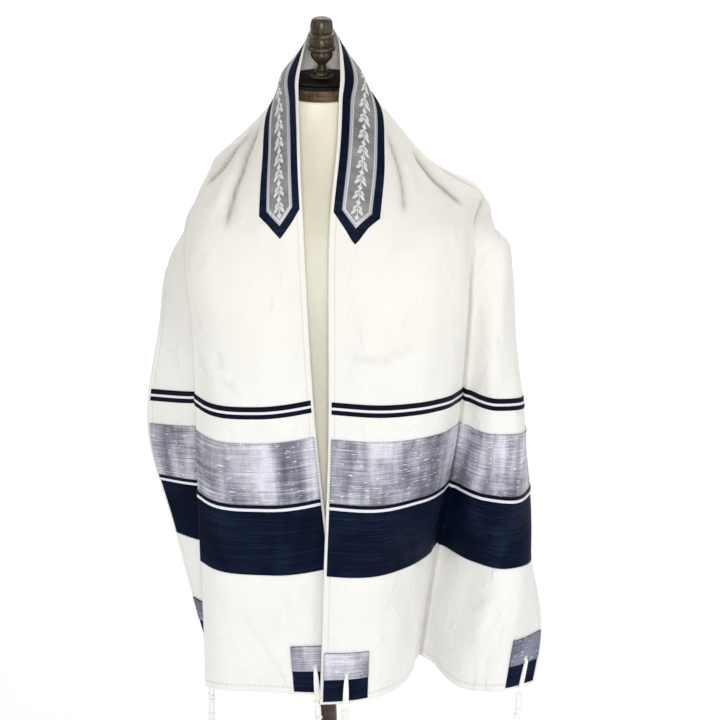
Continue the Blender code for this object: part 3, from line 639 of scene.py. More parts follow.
# The woven bands go right across each end of the shawl: navy, white and navy ribbon, a wide band
# of silver-grey raw silk, a narrow ribbon over the next seam, and a wide band of navy silk.
SEAM, TRIM = 0.03, 0.09
TRIPLE, GREY, THIN, NAVY = (52.25, 54.1), (57.8, 67.5), (67.5, 68.6), (68.6, 79.0)
MARGIN = 0.4
LOW = WALL / 2 + SEAM
UPPER = LOW + TRIM + SEAM
STITCH_STEP = 0.44


def fibre_bumps(tree, place, slub, across):
    """Threads that run along v: thin streaks and sparse thick slubs, from 0 to about 1."""
    fine = grain(tree, place, (slub * 2.2, across, 1), 3.0, 0.6)
    thick = grain(tree, place, (slub, across * 0.6, 1), 2.0)
    return fine, thick


def grey_raw_silk(name, shade=(1.0, 1.0, 1.0)):
    """Silver-grey raw silk: streaks of thick and thin weft, a few pale flecks, and bars and patches
    of painted sheen and painted shade in its colour. Its greys are multiplied by shade, which
    paints shade on pieces that face away from the light."""
    mat, tree, shader = new_look(name, Roughness=0.42, Sheen_Weight=0.12,
                                 Anisotropic=0.35, Specular_IOR_Level=0.35)
    place = cut_place(tree)
    fine, thick = fibre_bumps(tree, place, 330, 14)
    bars = grain(tree, place, (4, 19, 1), 4.0, 0.6)
    patches = grain(tree, place, (6, 9, 1), 2.0, warp=0.6)
    flecks = grain(tree, place, (560, 70, 1), 1.0)
    # The bars and patches are painted sheen and painted shade; the streaks and flecks are the
    # silk's own.
    tone = weigh(tree, (bars, 0.52), (patches, 0.34), (fine, 0.30), (thick, 0.14))
    greys = [(0.42, (0.085, 0.085, 0.120)), (0.48, (0.22, 0.22, 0.275)),
             (0.52, (0.40, 0.40, 0.465)), (0.58, (0.68, 0.68, 0.75))]
    colour = ramp(tree, sums(tree, "MULTIPLY", tone, 0.78),
                  [(stop, tuple(np.multiply(grey, shade))) for stop, grey in greys])
    spots = sums(tree, "MULTIPLY", sums(tree, "SUBTRACT", flecks, 0.665), 26.0, clamp=True)
    colour = blend(tree, spots, colour, (0.86, 0.86, 0.92))
    finish_with(tree, shader, colour, weigh(tree, (fine, 0.7), (thick, 1.0), (spots, 0.5)), 0.0005,
                strength=0.8, rough=weigh(tree, (patches, 0.22), (0.34, 1.0)),
                bends=bars, bend_depth=0.004)
    return mat


def navy_silk():
    """Navy dupion silk: almost black, with fine slubs that show where the light grazes them, and
    soft lighter patches of painted sheen in its colour.
    """
    mat, tree, shader = new_look("navy_silk", Roughness=0.48, Sheen_Weight=0.01,
                                 Sheen_Tint=(0.35, 0.42, 0.8, 1.0), Anisotropic=0.3,
                                 Specular_IOR_Level=0.03)
    place = cut_place(tree)
    fine, thick = fibre_bumps(tree, place, 260, 16)
    patches = grain(tree, place, (5, 10, 1), 3.0, warp=0.8)
    # The patches are painted sheen; the slubs are the silk's own.
    tone = weigh(tree, (fine, 0.35), (patches, 0.45), (thick, 0.25))
    colour = ramp(tree, tone, [(0.35, (0.0010, 0.0020, 0.0075)), (0.52, (0.0030, 0.0062, 0.0195)),
                               (0.68, (0.012, 0.021, 0.048))])
    finish_with(tree, shader, colour, weigh(tree, (fine, 0.6), (thick, 1.0)), 0.00035,
                strength=0.7, rough=weigh(tree, (patches, 0.2), (0.40, 1.0)))
    return mat


def ribbon_silk(name, first, last, stops):
    """Ribbed ribbon: stripes that follow its length, and ribs straight across it."""
    mat, tree, shader = new_look(name, Roughness=0.5, Sheen_Weight=0.02, Specular_IOR_Level=0.06)
    place = cut_place(tree)
    along = add(tree, "SeparateXYZ", {0: place}).outputs[0]
    off = sums(tree, "SUBTRACT", sums(tree, "ABSOLUTE", along), first / 100)
    share = sums(tree, "DIVIDE", off, (last - first) / 100)
    colour = ramp(tree, share, stops, "CONSTANT")
    ribs = add(tree, "TexWave", {"Vector": place, "Scale": 190.0, "Distortion": 0.4,
                                 "Detail": 1.0}, bands_direction="Y").outputs["Fac"]
    tone = grain(tree, place, (120, 500, 1), 2.0)
    colour = blend(tree, sums(tree, "MULTIPLY", tone, 0.35), colour, (0.5, 0.5, 0.5), "SOFT_LIGHT")
    colour = blend(tree, sums(tree, "MULTIPLY", ribs, 0.25), colour, (0.30, 0.30, 0.32), "MULTIPLY")
    finish_with(tree, shader, colour, ribs, 0.00025, strength=0.8)
    return mat


GREY_SILK, NAVY_SILK = grey_raw_silk("grey_raw_silk"), navy_silk()
# The same grey silk with painted shade, its greys darkened, for the far patches that face away from
# the light.
SHADED_GREY_SILK = grey_raw_silk("shaded_grey_raw_silk", (0.32, 0.33, 0.42))
INK, PALE = (0.003, 0.004, 0.014), (0.84, 0.85, 0.92)
TRIPLE_RIBBON = ribbon_silk("triple_ribbon_silk", *TRIPLE,
                            [(0.0, INK), (0.40, PALE), (0.61, INK), (1.0, INK)])
THIN_RIBBON = ribbon_silk("thin_ribbon_silk", *THIN,
                          [(0.0, INK), (0.50, PALE), (0.90, INK), (1.0, INK)])


def rounded(near, soft):
    """0 at the border of a piece and 1 from soft cm inwards, rising like a quarter circle."""
    return np.sqrt(1 - (1 - np.clip(near / soft, 0.0, 1.0)) ** 2)


def steps(low, high, step, soft=0.12):
    """Places from low to high about step apart, with two close lines inside each end."""
    inner = np.linspace(low + soft, high - soft, max(2, int(round((high - low) / step))))
    return np.concatenate([[low, low + 0.25 * soft], inner, [high - 0.25 * soft, high]])


def patch_of_cloth(name, rows, cols, low, look, slot, step=0.5, thick=TRIM, ribs=None):
    """A rectangle of the cut as a thin closed sheet with soft edges. Its lines across are the
    shawl's own, so the two never meet."""
    lo, hi = min(rows), max(rows)
    u_at = steps(lo, hi, step)
    inside = V_LINES[(V_LINES > cols[0] + 0.15) & (V_LINES < cols[1] - 0.15)]
    v_at = np.concatenate([[cols[0], cols[0] + 0.04], inside, [cols[1] - 0.04, cols[1]]])
    u_grid, v_grid = np.meshgrid(u_at, v_at, indexing="ij")
    near = np.minimum(np.minimum(u_grid - lo, hi - u_grid),
                      np.minimum(v_grid - cols[0], cols[1] - v_grid))
    rise = rounded(near, 0.12)
    if ribs:
        rise = rise * (1 - 0.45 * np.cos(np.pi * ribs * (u_grid - lo) / (hi - lo)) ** 8)
    top = on(u_grid, v_grid, low + thick * (0.35 + 0.65 * rise))
    return walled(name, top, on(u_grid, v_grid, low), look,
                  cut_uv(u_grid, v_grid), slot)


FAR = WIDTH - MARGIN
for side, which in ((-1, "left"), (1, "right")):
    for stem, rows, low, look, slot, step, ribs in (
            ("triple_ribbon", TRIPLE, LOW, TRIPLE_RIBBON, "ribbon", 0.1, 3),
            ("grey_band", GREY, LOW, GREY_SILK, "grey_silk", 0.5, None),
            ("navy_band", NAVY, LOW, NAVY_SILK, "navy_silk", 0.5, None),
            ("thin_ribbon", THIN, UPPER, THIN_RIBBON, "ribbon", 0.1, 2)):
        made = patch_of_cloth(f"{stem}_{which}_cloth", (side * rows[0], side * rows[1]),
                              (MARGIN, FAR), low, look, slot, step, ribs=ribs)
        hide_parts(f"{stem}_{which}")
    runs = [along_edge((side * GREY[0], MARGIN), (side * GREY[0], FAR), STITCH_STEP)]
    runs += [along_edge((side * GREY[0], edge), (side * GREY[1], edge), STITCH_STEP)
             for edge in (MARGIN, FAR)]
    slants = [(0.17, 0.07), (0.07, 0.15), (0.07, -0.15)]
    for k, ((at_u, at_v), (du, dv)) in enumerate(zip(runs, slants)):
        stitches(f"grey_stitches_{which}_{k}", at_u, at_v, du, dv, LOW + TRIM, "grey", "grey_silk")
    at_u, at_v = along_edge((side * NAVY[1], MARGIN), (side * NAVY[1], FAR), STITCH_STEP)
    stitches(f"navy_stitches_{which}", at_u, at_v, 0.13, 0.06, LOW + TRIM, "navy", "navy_silk")

# The neck band (atara): a navy silk strip with pointed ends along the neck edge, a silver braid
# that follows its outline, and a grey satin strip inside it with raised white embroidery.
BAND_MIDDLE, BAND_HALF = 3.8, 3.4
BAND_BASE, BAND_TIP, BAND_CENTRE = 27.0, 30.4, 1.1
BRAID_AT, BRAID_WIDE = 1.18, 0.62
GROUND_AT = 1.66
MITRE = 2 ** 0.5
# The band's lines along it, and the rows of its braid on each of the outline's six sides.
BAND_LINES, BRAID_ROWS = 190, (150, 14, 14, 150, 14, 14)


def pointed(inset, u_lines, v_lines):
    """The band's outline set in by inset, as a grid: across it goes from edge to edge, and along
    it to the pointed end, whose length falls by the square root of 2 times the inset."""
    half = BAND_HALF - inset
    a = np.linspace(-1.0, 1.0, v_lines)
    a = np.sign(a) * (1 - (1 - np.abs(a)) ** 1.15)
    reach = BAND_TIP - MITRE * inset - half * np.abs(a)
    b = np.linspace(-1.0, 1.0, u_lines)
    return (BAND_CENTRE + b[:, None] * reach[None, :],
            np.broadcast_to(BAND_MIDDLE + half * a, (u_lines, v_lines)))


def band_edge(u_grid, v_grid, inset, soft):
    """0 on the outline set in by inset and 1 from soft cm inwards."""
    half = BAND_HALF - inset
    off = np.abs(v_grid - BAND_MIDDLE)
    slope = (BAND_TIP - MITRE * inset - off - np.abs(u_grid - BAND_CENTRE)) / MITRE
    return rounded(np.minimum(half - off, slope), soft)


def outline(inset):
    """Six corners of the band's outline set in by inset, turning from u to v."""
    half = BAND_HALF - inset
    base, tip = BAND_BASE + (1 - MITRE) * inset, BAND_TIP - MITRE * inset
    low, high = BAND_MIDDLE - half, BAND_MIDDLE + half
    corners = np.array([(-base, low), (base, low), (tip, BAND_MIDDLE), (base, high),
                        (-base, high), (-tip, BAND_MIDDLE)])
    return corners + (BAND_CENTRE, 0.0)


def braid(name, start, wide, low, thick, look, slot, count=9):
    """A ribbon between two outlines of the band. Its upper face is a shallow arch across with two
    cords on it: thick times (arch + 0.35 |sin| of the place across)."""
    share = np.linspace(0.0, 1.0, count)
    corners = np.stack([outline(start + wide * s) for s in share], axis=1)
    places = np.concatenate([k + np.linspace(0, 1, n, endpoint=False)
                             for k, n in enumerate(BRAID_ROWS)])
    k = places.astype(int)
    t = (places - k)[:, None, None]
    ring = (1 - t) * corners[k] + t * corners[(k + 1) % 6]
    u_grid, v_grid = ring[..., 0], ring[..., 1]
    arch = np.sqrt(np.clip(1 - (2 * share - 1) ** 2, 0, 1)) * (0.75 + 0.35 * np.abs(
        np.sin(2 * np.pi * share)))
    top = on(u_grid, v_grid, low + thick * (0.15 + 0.85 * arch))
    across = np.broadcast_to(share, u_grid.shape)
    return walled(name, top, on(u_grid, v_grid, low), look,
                  cut_uv(u_grid, v_grid), slot, loop=True, across=across)


def silver_braid():
    """Flat silver braid: metallic thread in short slanted rows. Across it the colour has painted
    shade at its edges and between its cords, and one bright line of painted reflection.
    """
    mat, tree, shader = new_look("silver_braid", Roughness=0.38, Metallic=0.1, Sheen_Weight=0.2)
    place = cut_place(tree)
    rows = add(tree, "TexWave", {"Vector": place, "Scale": 160.0, "Distortion": 0.3},
               bands_direction="DIAGONAL").outputs["Fac"]
    across = add(tree, "Attribute", attribute_name="across").outputs["Fac"]
    tone = grain(tree, place, (60, 60, 1), 2.0)
    # Across the braid: painted shade at the edges and between the cords, and a painted reflection
    # in the bright line.
    colour = ramp(tree, across, [(0.0, (0.22, 0.22, 0.24)), (0.25, (0.52, 0.52, 0.55)),
                                 (0.5, (0.30, 0.30, 0.32)), (0.7, (0.72, 0.72, 0.75)),
                                 (0.86, (0.52, 0.52, 0.55)), (1.0, (0.16, 0.16, 0.17))])
    colour = blend(tree, sums(tree, "MULTIPLY", rows, 0.22), colour, (0.2, 0.2, 0.22), "MULTIPLY")
    colour = blend(tree, sums(tree, "MULTIPLY", tone, 0.4), colour, (0.6, 0.6, 0.6), "SOFT_LIGHT")
    finish_with(tree, shader, colour, rows, 0.0002, strength=0.7)
    return mat


def grey_satin():
    """Smooth grey satin of the neck band, with faint cross creases where the band bends: bumps, and
    painted shade and light in its colour.
    """
    mat, tree, shader = new_look("grey_satin", Roughness=0.40, Sheen_Weight=0.1, Anisotropic=0.3,
                                 Specular_IOR_Level=0.35)
    place = cut_place(tree)
    weave = grain(tree, place, (600, 90, 1), 2.0)
    bends = grain(tree, place, (42, 5, 1), 3.0, 0.55, warp=0.5)
    cloud = grain(tree, place, (14, 18, 1), 2.0)
    # The creases' weight in the tone is painted shade and light; the cloud and weave are the
    # satin's own.
    tone = weigh(tree, (bends, 0.40), (cloud, 0.35), (weave, 0.25))
    colour = ramp(tree, tone, [(0.36, (0.112, 0.112, 0.114)), (0.5, (0.200, 0.200, 0.202)),
                               (0.64, (0.305, 0.305, 0.308))])
    finish_with(tree, shader, colour, weigh(tree, (bends, 1.0), (weave, 0.12)), 0.0030,
                strength=0.8, rough=weigh(tree, (cloud, 0.2), (0.33, 1.0)))
    return mat


u, v = pointed(0.0, BAND_LINES, 31)
rise = TRIM * (0.35 + 0.65 * band_edge(u, v, 0.0, 0.12))
navy_strip = walled("atara_border_cloth", on(u, v, LOW + rise), on(u, v, LOW), NAVY_SILK,
                    cut_uv(u, v), "navy_silk")
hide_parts("atara_border")
u, v = pointed(GROUND_AT, BAND_LINES, 23)
rise = TRIM * (0.3 + 0.5 * band_edge(u, v, GROUND_AT, 0.1))
grey_strip = walled("atara_ground_cloth", on(u, v, UPPER + rise), on(u, v, UPPER), grey_satin(),
                    cut_uv(u, v), "grey_silk")
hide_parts("atara_ground")
braid("atara_braid", BRAID_AT, BRAID_WIDE, UPPER - 0.02, 0.13, silver_braid(), "ribbon")

# Embroidery on the band: padded satin stitch in white cotton, a running line of small diamonds
# with two pairs of leaves between each two, worked along the middle of the grey strip.
MOTIF, MOTIFS_EACH_WAY = 2.1, 13
EMBROIDERY_LIFT = UPPER + 0.8 * TRIM - 0.01
PADDING = 0.075
DIAMOND_LONG, DIAMOND_WIDE, LEAF_WIDTH_SHARE = 0.46, 0.40, 0.42
# A sprig's four leaves: place along and across, lean in radians, half length.
LEAVES = ((0.28, 0.50, 0.75, 0.58), (0.28, -0.50, -0.75, 0.58), (-0.34, 0.40, 0.75, 0.46),
          (-0.34, -0.40, -0.75, 0.46))
STEM, STEM_PLY, STEM_LAY = 0.070, 0.015, 0.16


def leaves(name, at_u, at_v, angle, long, wide, point, look, slot):
    """Padded leaf shapes. At s along and t across, both -1 to 1, the half width is wide times
    (1 - |s|^point), and the height is the padding times (1 - t^2)(1 - s^2) to the power 0.5."""
    s, t = np.linspace(-1, 1, 9), np.linspace(-1, 1, 6)
    side = (1 - np.abs(s) ** point)[:, None] * t
    ahead = np.broadcast_to(s[:, None], side.shape)
    long, wide, angle = (np.broadcast_to(x, at_u.shape)[:, None, None] for x in (long, wide, angle))
    du = ahead * long * np.cos(angle) - side * wide * np.sin(angle)
    dv = ahead * long * np.sin(angle) + side * wide * np.cos(angle)
    dome = PADDING * np.sqrt(np.clip((1 - s * s)[:, None] * (1 - t * t), 0, 1))
    u, v = at_u[:, None, None] + du, at_v[:, None, None] + dv
    top = on(u, v, EMBROIDERY_LIFT + 0.012 + dome)
    under = on(u, v, EMBROIDERY_LIFT)
    count = s.size * t.size
    cells = quads(s.size, t.size)
    starts = np.arange(at_u.size)[:, None, None] * 2 * count
    faces = np.concatenate([cells, cells[:, ::-1] + count, rim(border(s.size, t.size), count)])
    points = np.stack([top, under], axis=1).reshape(-1, 3)
    worked = np.stack([ahead * long / 100, side * wide / 100], axis=-1)
    return piece(name, points, [(faces[None] + starts).reshape(-1, 4)], look,
                 uv=np.repeat(worked.reshape(at_u.size, 1, count, 2), 2, axis=1), slot=slot)


def satin_stitch():
    """White embroidery cotton laid side by side: fine ridges across each leaf, with some gloss."""
    mat, tree, shader = new_look("satin_stitch", Roughness=0.42, Sheen_Weight=0.3)
    place = cut_place(tree)
    laid = add(tree, "TexWave", {"Vector": place, "Scale": 420.0, "Distortion": 0.5},
               bands_direction="X").outputs["Fac"]
    tone = grain(tree, add(tree, "TexCoord").outputs["Object"], (120, 120, 120), 2.0)
    colour = ramp(tree, weigh(tree, (laid, 0.5), (tone, 0.5)),
                  [(0.25, (0.60, 0.60, 0.60)), (0.6, (0.80, 0.80, 0.79))])
    finish_with(tree, shader, colour, laid, 0.00025, strength=0.8)
    return mat


WHITE_STITCH = satin_stitch()
k = np.arange(-MOTIFS_EACH_WAY, MOTIFS_EACH_WAY + 1)
at = BAND_CENTRE - 0.05 + k * MOTIF
leaves("embroidered_diamonds", at, np.full(at.shape, BAND_MIDDLE), 0.0, DIAMOND_LONG,
       DIAMOND_WIDE, 1.0, WHITE_STITCH, "grey_silk")
sprigs = at[:-1] + 0.5 * MOTIF
turn = np.sign(sprigs)
ahead, aside, lean, size = (np.repeat(column, sprigs.size) for column in zip(*LEAVES))
parts_u = np.tile(sprigs, 4) + np.tile(turn, 4) * ahead
parts_v = BAND_MIDDLE + aside
lean = lean * np.tile(turn, 4)
leaves("embroidered_leaves", parts_u, parts_v, lean, size, LEAF_WIDTH_SHARE * size, 2.0,
       WHITE_STITCH, "grey_silk")
run = np.linspace(at[0], at[-1], 560)
stem = on(run, BAND_MIDDLE + 0.05 * np.sin(2 * np.pi * run / MOTIF), EMBROIDERY_LIFT + 0.02)
rings = rope(stem, (STEM + STEM_PLY * np.sin(2 * np.pi * run / STEM_LAY))[:, None],
             outward(run, BAND_MIDDLE), sides=6)
piece("embroidered_stem", rings, rope_faces(1, run.size, 6), WHITE_STITCH, slot="grey_silk",
      uv=np.stack(np.broadcast_arrays(run[:, None] / 100, np.arange(6) / 600), axis=-1))

# A patch strengthens each corner: a square of navy silk with a grey silk upper half on it, both
# overcast by hand round their edges, and a small buttonhole for the fringe worked in white.
PATCH = (91.5, 95.9, 99.6)
HOLE_UP, HOLE_RADIUS = 95.0, 0.26
HOLE_STITCHES, HOLE_STITCH_HALF, HOLE_THREAD = 14, 0.13, 0.055
PATCH_STITCH_STEP = 0.40
HOLES = {"near": 3.8, "far": 56.2}
PATCH_COLS = {"near": (0.4, 7.2), "far": (52.8, 59.6)}

for side, which in ((-1, "left"), (1, "right")):
    for place, cols in PATCH_COLS.items():
        name = f"{which}_{place}"
        # The far patches use the grey silk with painted shade.
        for stem, rows, low, look, slot in (
                ("navy", (PATCH[0], PATCH[2]), LOW, NAVY_SILK, "navy_silk"),
                ("grey", (PATCH[0], PATCH[1]), UPPER,
                 GREY_SILK if place == "near" else SHADED_GREY_SILK, "grey_silk")):
            made = patch_of_cloth(f"patch_{stem}_{name}_cloth", (side * rows[0], side * rows[1]),
                                  cols, low, look, slot, step=0.4)
            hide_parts(f"patch_{stem}_{name}")
        edges = [((PATCH[0], cols[0]), (PATCH[0], cols[1]), (0.16, 0.06), UPPER),
                 ((PATCH[0], cols[0]), (PATCH[1], cols[0]), (0.06, 0.14), UPPER),
                 ((PATCH[0], cols[1]), (PATCH[1], cols[1]), (0.06, -0.14), UPPER),
                 ((PATCH[1], cols[0]), (PATCH[2], cols[0]), (0.05, 0.09), LOW),
                 ((PATCH[1], cols[1]), (PATCH[2], cols[1]), (0.05, -0.09), LOW),
                 ((PATCH[2], cols[0]), (PATCH[2], cols[1]), (0.09, 0.05), LOW)]
        for k, (start, end, slant, low) in enumerate(edges):
            at_u, at_v = along_edge(start, end, PATCH_STITCH_STEP)
            stitches(f"patch_stitches_{name}_{k}", side * at_u, at_v, slant[0], slant[1],
                     low + TRIM, "grey" if low == UPPER else "navy", "grey_silk")
        turn = 2 * np.pi * np.arange(HOLE_STITCHES) / HOLE_STITCHES
        stitches(f"buttonhole_{name}", side * HOLE_UP + HOLE_RADIUS * np.cos(turn),
                 HOLES[place] + HOLE_RADIUS * np.sin(turn), HOLE_STITCH_HALF * np.cos(turn),
                 HOLE_STITCH_HALF * np.sin(turn), UPPER + TRIM, "white", "tzitzit_wool",
                 radius=HOLE_THREAD)

# A fringe (tzitzit) hangs from each corner: four long wool cords drawn through the hole and
# doubled, five double knots with windings of 7, 8, 11 and 13 turns between, and eight free ends.
CORD, CORDS_APART, BUNDLE = 0.115, 0.14, 0.17
CORE, COIL, COIL_CORD = 0.24, 0.36, 0.110
KNOT_CORD, KNOT_LOOPS = 0.150, ((0.54, 0.50), (0.46, 0.42))
KNOTS = (1.2, 3.8, 6.2, 9.0, 12.2)
TURNS = (7, 8, 11, 13)
FREE_FROM, FREE_TO = 12.0, 29.2
TIGHT_SPREAD, FREE_SPREAD = 0.2, 1.6
# How far out of the cloth a fringe hangs, and how far each has swung to the right at its last knot.
HANGS_OUT = 0.34
CAST = {("left", "near"): 0.7, ("right", "near"): -0.6, ("left", "far"): -0.3,
        ("right", "far"): -1.1}


def run_to(points):
    """How far each point of a line is from its start, along the line."""
    return np.concatenate([[0.0], np.cumsum(np.linalg.norm(np.diff(points, axis=0), axis=1))])


def twisted(path, radius, up, lay=0.42, sides=10):
    """A two-ply cord: circles whose radius is multiplied by 1 + 0.2 cos(2 (angle - turns)), where
    turns grows by half a circle in each lay of length run."""
    run = run_to(path)
    angle = 2 * np.pi * np.arange(sides) / sides
    ply = 1 + 0.20 * np.cos(2 * angle - 2 * np.pi * run[:, None] / lay)
    return rope(path, radius * ply, up, sides)


def gathered(ropes):
    """Several ropes of any size as one list of points and one list of faces."""
    points, faces, first = [], [], 0
    for rings in ropes:
        count, sides = rings.shape[:2]
        points.append(rings.reshape(-1, 3))
        faces += rope_faces(1, count, sides, first)
        first += count * sides
    return np.concatenate(points), faces


def dense(points, step=0.09):
    """The smooth line through a few points, with a new point every step cm."""
    points = np.asarray(points, float)
    far = run_to(points)
    return curve(far, points, np.linspace(0.0, far[-1], max(8, int(far[-1] / step))))


def wool():
    """Spun white wool: soft, fuzzy, with faint shade between its plies."""
    mat, tree, shader = new_look("tzitzit_wool", Roughness=0.88, Sheen_Weight=0.5,
                                 Sheen_Roughness=0.6, Specular_IOR_Level=0.2)
    place = add(tree, "TexCoord").outputs["Object"]
    fuzz = grain(tree, place, (1400, 1400, 500), 3.0, 0.6)
    cloud = grain(tree, place, (60, 60, 60), 2.0)
    colour = ramp(tree, weigh(tree, (fuzz, 0.6), (cloud, 0.4)),
                  [(0.3, (0.84, 0.83, 0.80)), (0.6, (0.95, 0.945, 0.92))])
    finish_with(tree, shader, colour, fuzz, 0.0003, strength=0.8)
    return mat


def trefoil(centre, wide, tall, turned_by, count=150):
    """The line of an overhand knot drawn tight: (sin t + 2 sin 2t, cos t - 2 cos 2t, -sin 3t)."""
    t = np.linspace(0, 2 * np.pi, count)
    x, y = np.sin(t) + 2 * np.sin(2 * t), -np.sin(3 * t)
    z = np.cos(t) - 2 * np.cos(2 * t)
    c, s = np.cos(turned_by), np.sin(turned_by)
    return centre + np.stack([wide * (c * x - s * y * 1.15) / 3, wide * (s * x + c * y * 1.15) / 3,
                              tall * z / 3], axis=-1)


WOOL = wool()
DOWN, ALONG_Z = np.array([0.0, 0.0, -1.0]), np.array([0.0, 0.0, 1.0])
for side, which in ((-1, "left"), (1, "right")):
    for place, hole in HOLES.items():
        hem = on(side * END, hole)
        out = outward(side * PATCH[2], hole) * (1, 1, 0)
        out /= np.linalg.norm(out)
        across = np.array([out[1], -out[0], 0.0])

        def hangs(d, cast=CAST[which, place], hem=hem, out=out):
            """The fringe's own line, d cm below the hem, swung a little to one side."""
            d = np.asarray(d, float)[..., None]
            swung = np.array([cast, 0, 0]) * (d / FREE_FROM) ** 1.3
            return hem + out * HANGS_OUT + DOWN * d + swung

        ropes = []
        for k in range(8):
            flat = (k % 4 - 1.5) * CORDS_APART
            deep = 0.10 + 0.15 * (k // 4)
            turn = 2 * np.pi * (k + 0.5) / 8
            tight = across * BUNDLE * np.cos(turn) + out * BUNDLE * np.sin(turn)
            down_u = np.array([HOLE_UP + 0.02, HOLE_UP + 0.35, 96.4, 97.8, 99.2, 99.95])
            open_up = np.array([0.35, 0.6, 1.0, 1.3, 1.45, 1.45])
            lifts = np.array([0.05, 0.32, 0.36, 0.34, 0.34, 0.36]) + deep * np.array(
                [0.4, 1, 1, 1, 1, 1])
            start = on(side * down_u, hole + flat * open_up * -side, lifts)
            points = np.concatenate([start, hangs([0.6]) + across * flat * 1.1 + out * deep * 0.5,
                                     hangs([1.4, 2.0]) + tight])
            ropes.append(twisted(dense(points), CORD, across))
            d = np.array([FREE_FROM, 12.8, 14.6, 17.5, 21.0, 25.0, FREE_TO])
            share = (d - FREE_FROM) / (FREE_TO - FREE_FROM)
            spread = TIGHT_SPREAD + (FREE_SPREAD - TIGHT_SPREAD) * share ** 0.7
            way = np.array([np.cos(turn), np.sin(turn), 0.0])
            sway = 0.22 * np.sin(2.1 * k + d * 0.45) * np.clip((d - 12.8) / 4, 0, 1)
            path = hangs(d) + way * spread[:, None]
            path += np.array([-way[1], way[0], 0]) * sway[:, None]
            ropes.append(twisted(dense(path, 0.11), CORD, np.array([1.0, 0.2, 0.0])))
        core = dense(hangs(np.linspace(1.2, 12.4, 12)), 0.3)
        ropes.append(rope(core, CORE, across, sides=10))
        for k, (d0, d1, count) in enumerate(zip(KNOTS[:-1], KNOTS[1:], TURNS)):
            share = np.linspace(0.0, 1.0, count * 14)
            d = d0 + 0.55 + (d1 - d0 - 1.1) * share
            turn = 2 * np.pi * count * share
            coil = hangs(d) + COIL * (np.cos(turn)[:, None] * across + np.sin(turn)[:, None] * out)
            ropes.append(twisted(coil, COIL_CORD, ALONG_Z, sides=8))
        for k, d in enumerate(KNOTS):
            for part, (wide, tall) in enumerate(KNOT_LOOPS):
                middle_at = hangs(d) + DOWN * (0.12 - 0.24 * part)
                line = trefoil(middle_at, wide, tall, 0.9 * k + 1.3 * part)
                ropes.append(twisted(line, KNOT_CORD, out + 0.3 * across, sides=8))
        points, faces = gathered(ropes)
        made = piece(f"tzitzit_{which}_{place}_cords", points, faces, WOOL, slot="tzitzit_wool")
        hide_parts(f"tzitzit_{which}_{place}")

# The form's body: a limbless torso padded and covered with cream linen. It is pieced with seven
# long seams: at the back, at both sides, and four between, two at the front and two at the back.
TORSO = [
    # height, half width, half depth, middle in Y
    (-9.98, 4.9, 4.9, 0.0), (-13.0, 5.0, 4.95, 0.0), (-16.5, 5.8, 5.4, 0.2), (-19.5, 7.0, 5.9, 0.3),
    (-21.8, 9.76, 6.95, 0.3), (-23.6, 12.79, 7.95, 0.3), (-25.4, 15.58, 8.86, 0.2),
    (-27.6, 17.5, 9.86, 0.1), (-30.6, 18.0, 10.36, 0.1), (-35.0, 17.4, 10.4, 0.0),
    (-41.0, 15.9, 9.7, 0.1), (-48.0, 14.2, 8.9, 0.2), (-55.0, 13.4, 8.6, 0.3),
    (-62.0, 14.2, 9.1, 0.3), (-69.0, 15.2, 9.6, 0.4), (-75.0, 15.6, 10.38, 0.4),
    (-79.0, 14.8, 9.7, 0.4), (-81.0, 12.6, 8.0, 0.4), (-81.8, 8.0, 5.0, 0.3),
]
SEAM_TURNS = np.radians([0, 52, 90, 128, 180, 228, 312])
# How square the body's sections are, where 2 is an ellipse, and the centimetres of linen that a
# radian takes up, for its weave and for its seams.
BODY_POWER, LINEN_RADIUS, SEAM_RADIUS = 2.3, 14.0, 13.0
TORSO_LINES, TORSO_AROUND = 150, 240


def cream_linen():
    """Cream linen with a visible plain weave, mottled yellow, darker in the seams."""
    mat, tree, shader = new_look("cream_linen", Roughness=0.85, Sheen_Weight=0.25,
                                 Specular_IOR_Level=0.25)
    place = cut_place(tree)
    warp, weft = grain(tree, place, (700, 60, 1), 2.0), grain(tree, place, (60, 700, 1), 2.0)
    cloud = grain(tree, place, (12, 7, 1), 4.0, 0.6)
    seam = add(tree, "Attribute", attribute_name="seam").outputs["Fac"]
    groove = sums(tree, "SUBTRACT", 1.0, sums(tree, "DIVIDE", seam, 0.16), clamp=True)
    threads = sums(tree, "ADD", warp, weft)
    tone = weigh(tree, (cloud, 0.7), (threads, 0.15))
    colour = ramp(tree, tone, [(0.3, (0.90, 0.86, 0.68)), (0.5, (0.955, 0.925, 0.775)),
                               (0.7, (0.98, 0.965, 0.86))])
    colour = blend(tree, sums(tree, "MULTIPLY", groove, 0.45), colour, (0.50, 0.46, 0.35))
    finish_with(tree, shader, colour, weigh(tree, (threads, 1.0), (groove, -3.0)), 0.0004,
                strength=0.7)
    return mat


table = np.array(TORSO)
depth = np.linspace(-table[0, 0], -table[-1, 0], TORSO_LINES)
half_x, half_y, mid = curve(-table[:, 0], table[:, 1:], depth).T[..., None]
turn = np.linspace(0, 2 * np.pi, TORSO_AROUND, endpoint=False)
squash = (np.abs(np.cos(turn)) ** BODY_POWER
          + np.abs(np.sin(turn)) ** BODY_POWER) ** (-1 / BODY_POWER)
rings = np.stack(np.broadcast_arrays(half_x * squash * np.cos(turn),
                                     mid + half_y * squash * np.sin(turn),
                                     -depth[:, None]), axis=-1)
apart = np.abs((turn[:, None] - SEAM_TURNS + np.pi) % (2 * np.pi) - np.pi).min(axis=1)
seam_far = np.broadcast_to(apart * SEAM_RADIUS, rings.shape[:2])
linen_place = np.stack(np.broadcast_arrays(turn * LINEN_RADIUS / 100, -depth[:, None] / 100),
                       axis=-1)
torso = piece("torso_cover", rings, rope_faces(1, TORSO_LINES, TORSO_AROUND), cream_linen(),
              uv=linen_place, slot="form_linen", seam=seam_far)
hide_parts("torso")
